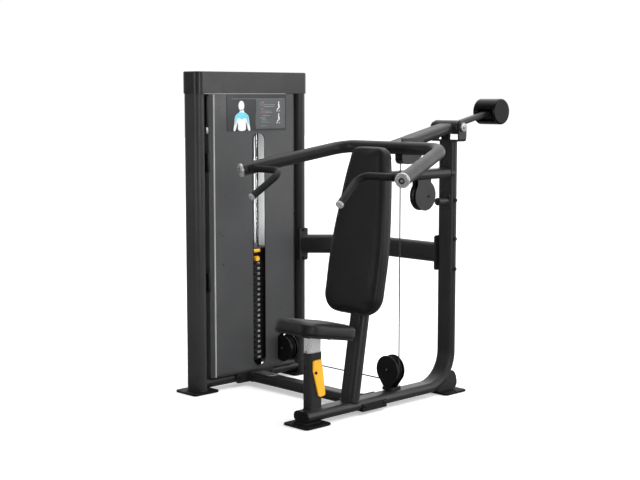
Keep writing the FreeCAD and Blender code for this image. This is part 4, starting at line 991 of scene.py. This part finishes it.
def stadium(c, u, v, w, h, n=160):
    """Flat-oval outline: w across u, h across v, round ends on the longer side."""
    c, u, v = Vector(c), Vector(u), Vector(v)
    if w < h:
        u, v, w, h = v, u, h, w
    r = h / 2
    s = w / 2 - r
    pts = []
    per = 4 * s + 2 * math.pi * r
    for i in range(n):
        q = per * i / n
        if q < 2 * s:
            pts.append(c + u * (s - q) + v * r)
        elif q < 2 * s + math.pi * r:
            a = (q - 2 * s) / r
            pts.append(c - u * s + (-u * math.sin(a) + v * math.cos(a)) * r)
        elif q < 4 * s + math.pi * r:
            pts.append(c + u * (-s + (q - 2 * s - math.pi * r)) - v * r)
        else:
            a = (q - 4 * s - math.pi * r) / r
            pts.append(c + u * s + (u * math.sin(a) - v * math.cos(a)) * r)
    return pts


# pad post and seat sleeve on the rail, support tube on the upright, beams on their plates, cross-beam on its plate
pp = Vector((0, math.sin(math.radians(9.44)), math.cos(math.radians(9.44))))
bead("weld_pad_post", stadium(D(0, -176.4, 69.5), X, Y, 0.101, 0.0615), r=0.0030)
bead("weld_seat_sleeve", ring_pts(D(0, -420, 69.6), X, Y, 0.0262, 0.0422, power=5), r=0.0028)
bead("weld_support_tube", stadium(D(0, 518 - 29.5, 1109), X, Z, 0.101, 0.049), r=0.0026)
bead("weld_cross_beam", stadium(D(-55.5, -62.5, 41), Y, Z, 0.099, 0.051), r=0.0026)
bead("weld_middle_beam", stadium(D(-58.5, 518, 704), Z, Y, 0.101, 0.059), r=0.0026)
bead("weld_cross_flange", stadium(D(-790.5, -62.5, 41), Y, Z, 0.099, 0.051), r=0.0024)
bead("weld_tower_foot_front", stadium(D(-860, -400, 11.3), X, Y, 0.121, 0.061), r=0.0030, slot="black_paint")
bead("weld_tower_foot_rear", stadium(D(-860, 280, 11.3), X, Y, 0.121, 0.061), r=0.0030, slot="black_paint")

# ------------------------------------------------------------------ placard: a generic pictogram and rules, no lettering
PLX = -796.0
PLY, PLZ = -44.0, 1403.0


def flat_shape(name, polys, mat, lift, thick=0.0004, body="frame", slot="placard"):
    """Thin raised print on the placard; polys are lists of (y, z) in millimetres from its centre."""
    vs, fs = [], []
    for poly in polys:
        a = sum(p[0] * q[1] - q[0] * p[1] for p, q in zip(poly, poly[1:] + poly[:1]))
        if a < 0:
            poly = poly[::-1]
        k = len(vs)
        n = len(poly)
        for h in (0.0, thick):
            for y, z in poly:
                vs.append(D(PLX + (lift + h) * 1000, PLY + y, PLZ + z))
        fs.append(tuple(range(k + n, k + 2 * n)))
        fs.append(tuple(reversed(range(k, k + n))))
        for i in range(n):
            j = (i + 1) % n
            fs.append((k + i, k + j, k + n + j, k + n + i))
    return new_mesh(name, vs, fs, mat, body, slot, False)


def rrect2(y0, y1, z0, z1, r, n=8):
    out = []
    for cy, cz, a0 in ((y1 - r, z1 - r, 0), (y0 + r, z1 - r, 90), (y0 + r, z0 + r, 180), (y1 - r, z0 + r, 270)):
        for i in range(n + 1):
            a = math.radians(a0 + 90 * i / n)
            out.append((cy + r * math.cos(a), cz + r * math.sin(a)))
    return out


def ellipse2(cy, cz, ry, rz, n=40):
    return [(cy + ry * math.cos(2 * math.pi * i / n), cz + rz * math.sin(2 * math.pi * i / n)) for i in range(n)]


def smooth2(pts, it=3):
    """Rounds a closed outline by corner cutting."""
    for _ in range(it):
        out = []
        for a, b in zip(pts, pts[1:] + pts[:1]):
            out.append((a[0] * .75 + b[0] * .25, a[1] * .75 + b[1] * .25))
            out.append((a[0] * .25 + b[0] * .75, a[1] * .25 + b[1] * .75))
        pts = out
    return pts


wave = [(-9 + 3.0 * math.sin(t_ / 6.0), 69 - t_ * 150 / 40.0) for t_ in range(41)]
right_part = wave + [(188, -81), (192, -77), (192, 65), (188, 69)]
flat_shape("placard_panel_right", [right_part], M["grey_print"], 0.0)
flat_shape("placard_header_rule", [rrect2(-170, 190, 70.0, 71.6, 0.7, 3)], M["line_print"], 0.0)
HX, KX = -103.0, 0.95
body_l = smooth2([(-15, 16), (15, 16), (15, 3), (34, -4), (46, -15), (50, -30), (52, -55), (60, -84), (56, -90.5), (45, -90.5), (35, -62),
                  (29, -42), (27, -60), (29, -90.5), (-29, -90.5), (-27, -60), (-29, -42), (-35, -62), (-45, -90.5), (-56, -90.5),
                  (-60, -84), (-52, -55), (-50, -30), (-46, -15), (-34, -4), (-15, 3)], 2)
flat_shape("placard_figure", [[(HX + KX * a, b) for a, b in body_l], [(HX - 3 + KX * a, b) for a, b in ellipse2(0, 36, 20, 25)]], M["white_print"], 0.0)
sh_l = smooth2([(-20, 3), (20, 3), (35, -5), (44, -16), (47, -32), (48, -56), (41, -58), (36, -36), (27, -25), (12, -27), (0, -35), (-12, -27),
                (-27, -25), (-36, -36), (-41, -58), (-48, -56), (-47, -32), (-44, -16), (-35, -5)], 2)
flat_shape("placard_figure_shoulders", [[(HX + KX * a, b) for a, b in sh_l]], M["cyan_print"], 0.0004)


def rule(y0, y1, z, h=1.3):
    return rrect2(y0, y1, z - h, z + h, h * 0.8, 3)


flat_shape("placard_rules", [rule(24, 46, 53), rule(44, 122, 40), rule(44, 118, 31), rule(58, 104, 1), rule(32, 84, -15), rule(32, 70, -37),
                             rule(60, 96, 8, 1.0), rule(20, 60, -24, 1.0), rule(24, 88, -48, 1.0)], M["line_print"], 0.0004)
flat_shape("placard_rules_red", [rule(16, 45, 45), rule(16, 45, 38), rule(25, 54, 13), rule(22, 60, 5), rule(22, 60, -2)], M["red_line_print"], 0.0004)
flat_shape("placard_rules_cyan", [rule(22, 42, 22), rule(22, 57, -31), rule(22, 70, -67)], M["cyan_line_print"], 0.0004)
minis = []
for cz in (31, -30):
    minis += [ellipse2(148, cz + 21, 3.8, 4.8, 20), [(144, cz + 15), (151, cz + 15), (155, cz - 3), (150, cz - 9), (145, cz - 4)],
              [(150, cz - 3), (153, cz - 8), (141, cz - 15), (137, cz - 11)], [(137, cz - 10), (141, cz - 13), (137, cz - 26), (133, cz - 25)],
              [(146, cz - 22), (158, cz - 22), (158, cz - 24), (146, cz - 24)]]
flat_shape("placard_small_figures", minis, M["white_print"], 0.0004)

# ------------------------------------------------------------------ weight numbers and guide bushes
STX, STY = -872.0, -50.0


def number_label(name, text, c, size, mat, body, slot):
    cu = bpy.data.curves.new(name + "_cu", "FONT")
    cu.body = text
    cu.size = size
    cu.align_x = "CENTER"
    cu.align_y = "CENTER"
    cu.extrude = 0.00015
    tmp = bpy.data.objects.new(name + "_tmp", cu)
    scene.collection.objects.link(tmp)
    bpy.context.view_layer.update()
    me = bpy.data.meshes.new_from_object(tmp.evaluated_get(bpy.context.evaluated_depsgraph_get()))
    rot = Matrix(((0, 0, 1), (1, 0, 0), (0, 1, 0))).to_4x4()
    out_v = [Vector(c) + (rot @ v.co) for v in me.vertices]
    out_f = [tuple(p.vertices) for p in me.polygons]
    bpy.data.objects.remove(tmp)
    return out_v, out_f


geo_plate, geo_num = [], []
for i in range(19):
    z = 119 + i * 27.5 + 13.45
    num = str(5 * (20 - i) + 5)
    geo_num.append(number_label("n", num, D(STX + 55.35, STY + 29, z), 0.0165, None, None, None))
new_mesh("plate_numbers", *join_geo(geo_num), M["white_print"], "frame", "placard", False)
geo_num = [number_label("n", "5", D(STX + 55.35, STY + 29, 119 + 19 * 27.5 + 13.45), 0.0165, None, None, None)]
new_mesh("first_plate_number", *join_geo(geo_num), M["white_print"], "weight_carriage", "placard", False)
# bushes in the pin holes
bush = []
for i in range(19):
    z = 119 + i * 27.5 + 13.45
    bush.append(lathe_geo(D(STX + 54.6, STY, z), X, [(0.0052, 0.0), (0.0082, 0.0), (0.0082, 0.0007), (0.0076, 0.0011), (0.0058, 0.0011), (0.0052, 0.0005)], 28))
vsb, fsb = [], []
for vs_, fs_ in bush:
    k = len(vsb)
    vsb += vs_
    fsb += [tuple(q + k for q in f_) for f_ in fs_ if len(f_) < 10]
new_mesh("pin_hole_bushes", vsb, fsb, M["black_plastic"], "frame", "black_plastic", True, 40)

# yellow band on the head block
hlo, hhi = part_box("stack_head")
band = rbox_geo(Vector((hhi.x + 0.0008, D(0, -34, 0).y, D(0, 0, 693).z)), Y, Z, X, (0.046, 0.016, 0.003), 0.001, 2)
new_mesh("head_band", *band, M["yellow"], "weight_carriage", "yellow", True, 30)

# ------------------------------------------------------------------ tower trim
trim = []
# latch box and clips in the recess beside the front column; the tall black block at the top of the recess is painted
# shade, standing for the shadowed inside of a cut-out
trim.append(rbox_geo(D(-822, -357, 1412), X, Y, Z, (0.026, 0.012, 0.150), 0.003, 3))
trim.append(rbox_geo(D(-815, -360, 1160), X, Y, Z, (0.030, 0.014, 0.098), 0.004, 3))
trim.append(rbox_geo(D(-815, -360, 560), X, Y, Z, (0.030, 0.014, 0.098), 0.004, 3))
new_mesh("recess_clips_and_shade_block", *join_geo(trim), M["black_plastic"], "frame", "black_plastic", True, 30)
new_mesh("recess_lamp_box", *rbox_geo(D(-818, -361, 1318), X, Y, Z, (0.020, 0.014, 0.034), 0.003, 3), M["light_steel"], "frame", "steel", True, 30)
# rubber edging round the pin slot
hw = 39.5
slot_line = []
for i in range(49):
    a = math.pi * i / 48
    slot_line.append(D(-797.2, -33 + hw * math.cos(a), 1260.5 + hw * math.sin(a)))
for i in range(49):
    a = math.pi + math.pi * i / 48
    slot_line.append(D(-797.2, -33 + hw * math.cos(a), 133.5 + hw * math.sin(a)))
dense = []
for a, b in zip(slot_line, slot_line[1:] + slot_line[:1]):
    k = max(1, int((b - a).length / 0.03))
    dense += [a + (b - a) * (j / k) for j in range(k)]
new_mesh("slot_edging", *tube_geo(dense, 0.0019, 10, closed=True), M["black_plastic"], "frame", "black_plastic")
# small plate on the cross-beam beside the tower
new_mesh("beam_plate", *rbox_geo(D(-709, -64, 67.2), X, Y, Z, (0.119, 0.066, 0.0030), 0.0012, 2), M["light_steel"], "frame", "steel", True, 30)

# turned-in lip along the foot of the front panel, the far ear of the saddle, the dark slot in the upright
# a rolled bead on the front panel's edge in pale grey: a painted highlight along the bend
edge_pts = [D(-799.6, -327.6, 72 + k_ * 7.0) for k_ in range(205)]
new_mesh("shroud_edge_painted_highlight", *tube_geo(edge_pts, 0.0044, 14), M["edge_painted_highlight"], "frame", "panel_grey")
new_mesh("shroud_lip", *rbox_geo(D(-796.6, -60, 76.5), Y, Z, X, (0.534, 0.013, 0.0024), 0.0009, 2), M["lip_grey"], "frame", "panel_grey", True, 30)
new_mesh("saddle_lip", *rbox_geo(D(-50, -20.5, 58.5), X, Y, Z, (0.008, 0.125, 0.017), 0.0015, 2), M["black_paint"], "frame", "black_paint", True, 30)
ulo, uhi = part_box("rear_upright")
slot_out = stadium(Vector((D(15, 0, 0).x, ulo.y - 0.0006, D(0, 0, 969).z)), X, Z, 0.016, 0.078, 80)
new_mesh("upright_slot_edge", *tube_geo(slot_out, 0.0014, 8, closed=True), M["black_plastic"], "frame", "black_plastic")

# ------------------------------------------------------------------ floor, light, world
fm = NT("floor")
fn = fm.noise(2.0, 3, 0.5)
fm.set(emit=(0.42, 0.42, 0.42), col=fm.mix(fm.mrange(fn, 0.3, 0.7, 0, 1), (0.88, 0.88, 0.885), (0.91, 0.91, 0.915)), rough=0.75, spec=0.2)
bm = bmesh.new()
bmesh.ops.create_grid(bm, x_segments=4, y_segments=4, size=30)
fme = bpy.data.meshes.new("floor")
bm.to_mesh(fme)
bm.free()
fme.materials.append(fm.mat)
floor = bpy.data.objects.new("floor", fme)
floor.location = (0, 0, -0.0005)
scene.collection.objects.link(floor)
floor.visible_glossy = False


def area(name, loc, target, size, energy, col=(1, 1, 1), sy=None):
    l = bpy.data.lights.new(name, "AREA")
    l.shape = "RECTANGLE"
    l.size, l.size_y = size, sy or size
    l.energy = energy
    l.color = col
    o = bpy.data.objects.new(name, l)
    scene.collection.objects.link(o)
    o.location = loc
    o.rotation_euler = (Vector(target) - Vector(loc)).to_track_quat("-Z", "Y").to_euler()
    return o


area("top_soft", (0.2, 0.5, 4.4), (0, 0, 0), 3.6, 45)
area("side_soft", (4.6, 3.6, 2.2), (0, 0, 0.8), 2.2, 50, sy=3.2)
area("left_soft", (-1.25, -3.85, 1.5), (-0.3, 0, 0.8), 0.8, 17, sy=2.2)
area("strip_soft", (3.9, -2.08, 1.6), (-0.6, 0, 0.8), 0.30, 42, sy=2.6)
area("tower_inside", tuple(D(-812, -33, 990)), tuple(D(-900, -33, 990)), 0.05, 1.8, sy=0.56).visible_glossy = False
sun = bpy.data.lights.new("sky_sun", "SUN")
sun.energy = 1.7
sun.angle = math.radians(60)
so = bpy.data.objects.new("sky_sun", sun)
scene.collection.objects.link(so)
so.visible_glossy = False
so.rotation_euler = Vector((-0.28, -0.42, -1.0)).to_track_quat("-Z", "Y").to_euler()

w = bpy.data.worlds.new("studio")
scene.world = w
w.use_nodes = True
nt = w.node_tree
nt.nodes.clear()
wo = nt.nodes.new("ShaderNodeOutputWorld")
bg = nt.nodes.new("ShaderNodeBackground")
tc = nt.nodes.new("ShaderNodeTexCoord")
dt = nt.nodes.new("ShaderNodeVectorMath")
dt.operation = "DOT_PRODUCT"
vv = Vector((-0.35, 0.90, 0.25)).normalized()
dt.inputs[1].default_value = vv
nt.links.new(tc.outputs["Generated"], dt.inputs[0])
mr = nt.nodes.new("ShaderNodeMapRange")
mr.interpolation_type = "SMOOTHSTEP"
mr.inputs[1].default_value, mr.inputs[2].default_value = -0.30, 0.95
mr.inputs[3].default_value, mr.inputs[4].default_value = 0.06, 1.35
nt.links.new(dt.outputs["Value"], mr.inputs[0])
sep = nt.nodes.new("ShaderNodeSeparateXYZ")
nt.links.new(tc.outputs["Generated"], sep.inputs[0])
mz = nt.nodes.new("ShaderNodeMapRange")
mz.interpolation_type = "SMOOTHSTEP"
mz.inputs[1].default_value, mz.inputs[2].default_value = -0.20, -0.01
mz.inputs[3].default_value, mz.inputs[4].default_value = 0.16, 1.0
nt.links.new(sep.outputs["Z"], mz.inputs[0])
mu = nt.nodes.new("ShaderNodeMath")
mu.operation = "MULTIPLY"
nt.links.new(mr.outputs[0], mu.inputs[0])
nt.links.new(mz.outputs[0], mu.inputs[1])
bg.inputs[0].default_value = (1, 1, 1, 1)
nt.links.new(mu.outputs[0], bg.inputs["Strength"])
# plain white behind the object from every side
bw = nt.nodes.new("ShaderNodeBackground")
bw.inputs[0].default_value = (1, 1, 1, 1)
bw.inputs[1].default_value = 1.02
lp = nt.nodes.new("ShaderNodeLightPath")
mxs = nt.nodes.new("ShaderNodeMixShader")
nt.links.new(lp.outputs["Is Camera Ray"], mxs.inputs[0])
nt.links.new(bg.outputs[0], mxs.inputs[1])
nt.links.new(bw.outputs[0], mxs.inputs[2])
nt.links.new(mxs.outputs[0], wo.inputs[0])
scene.view_settings.view_transform = "Standard"
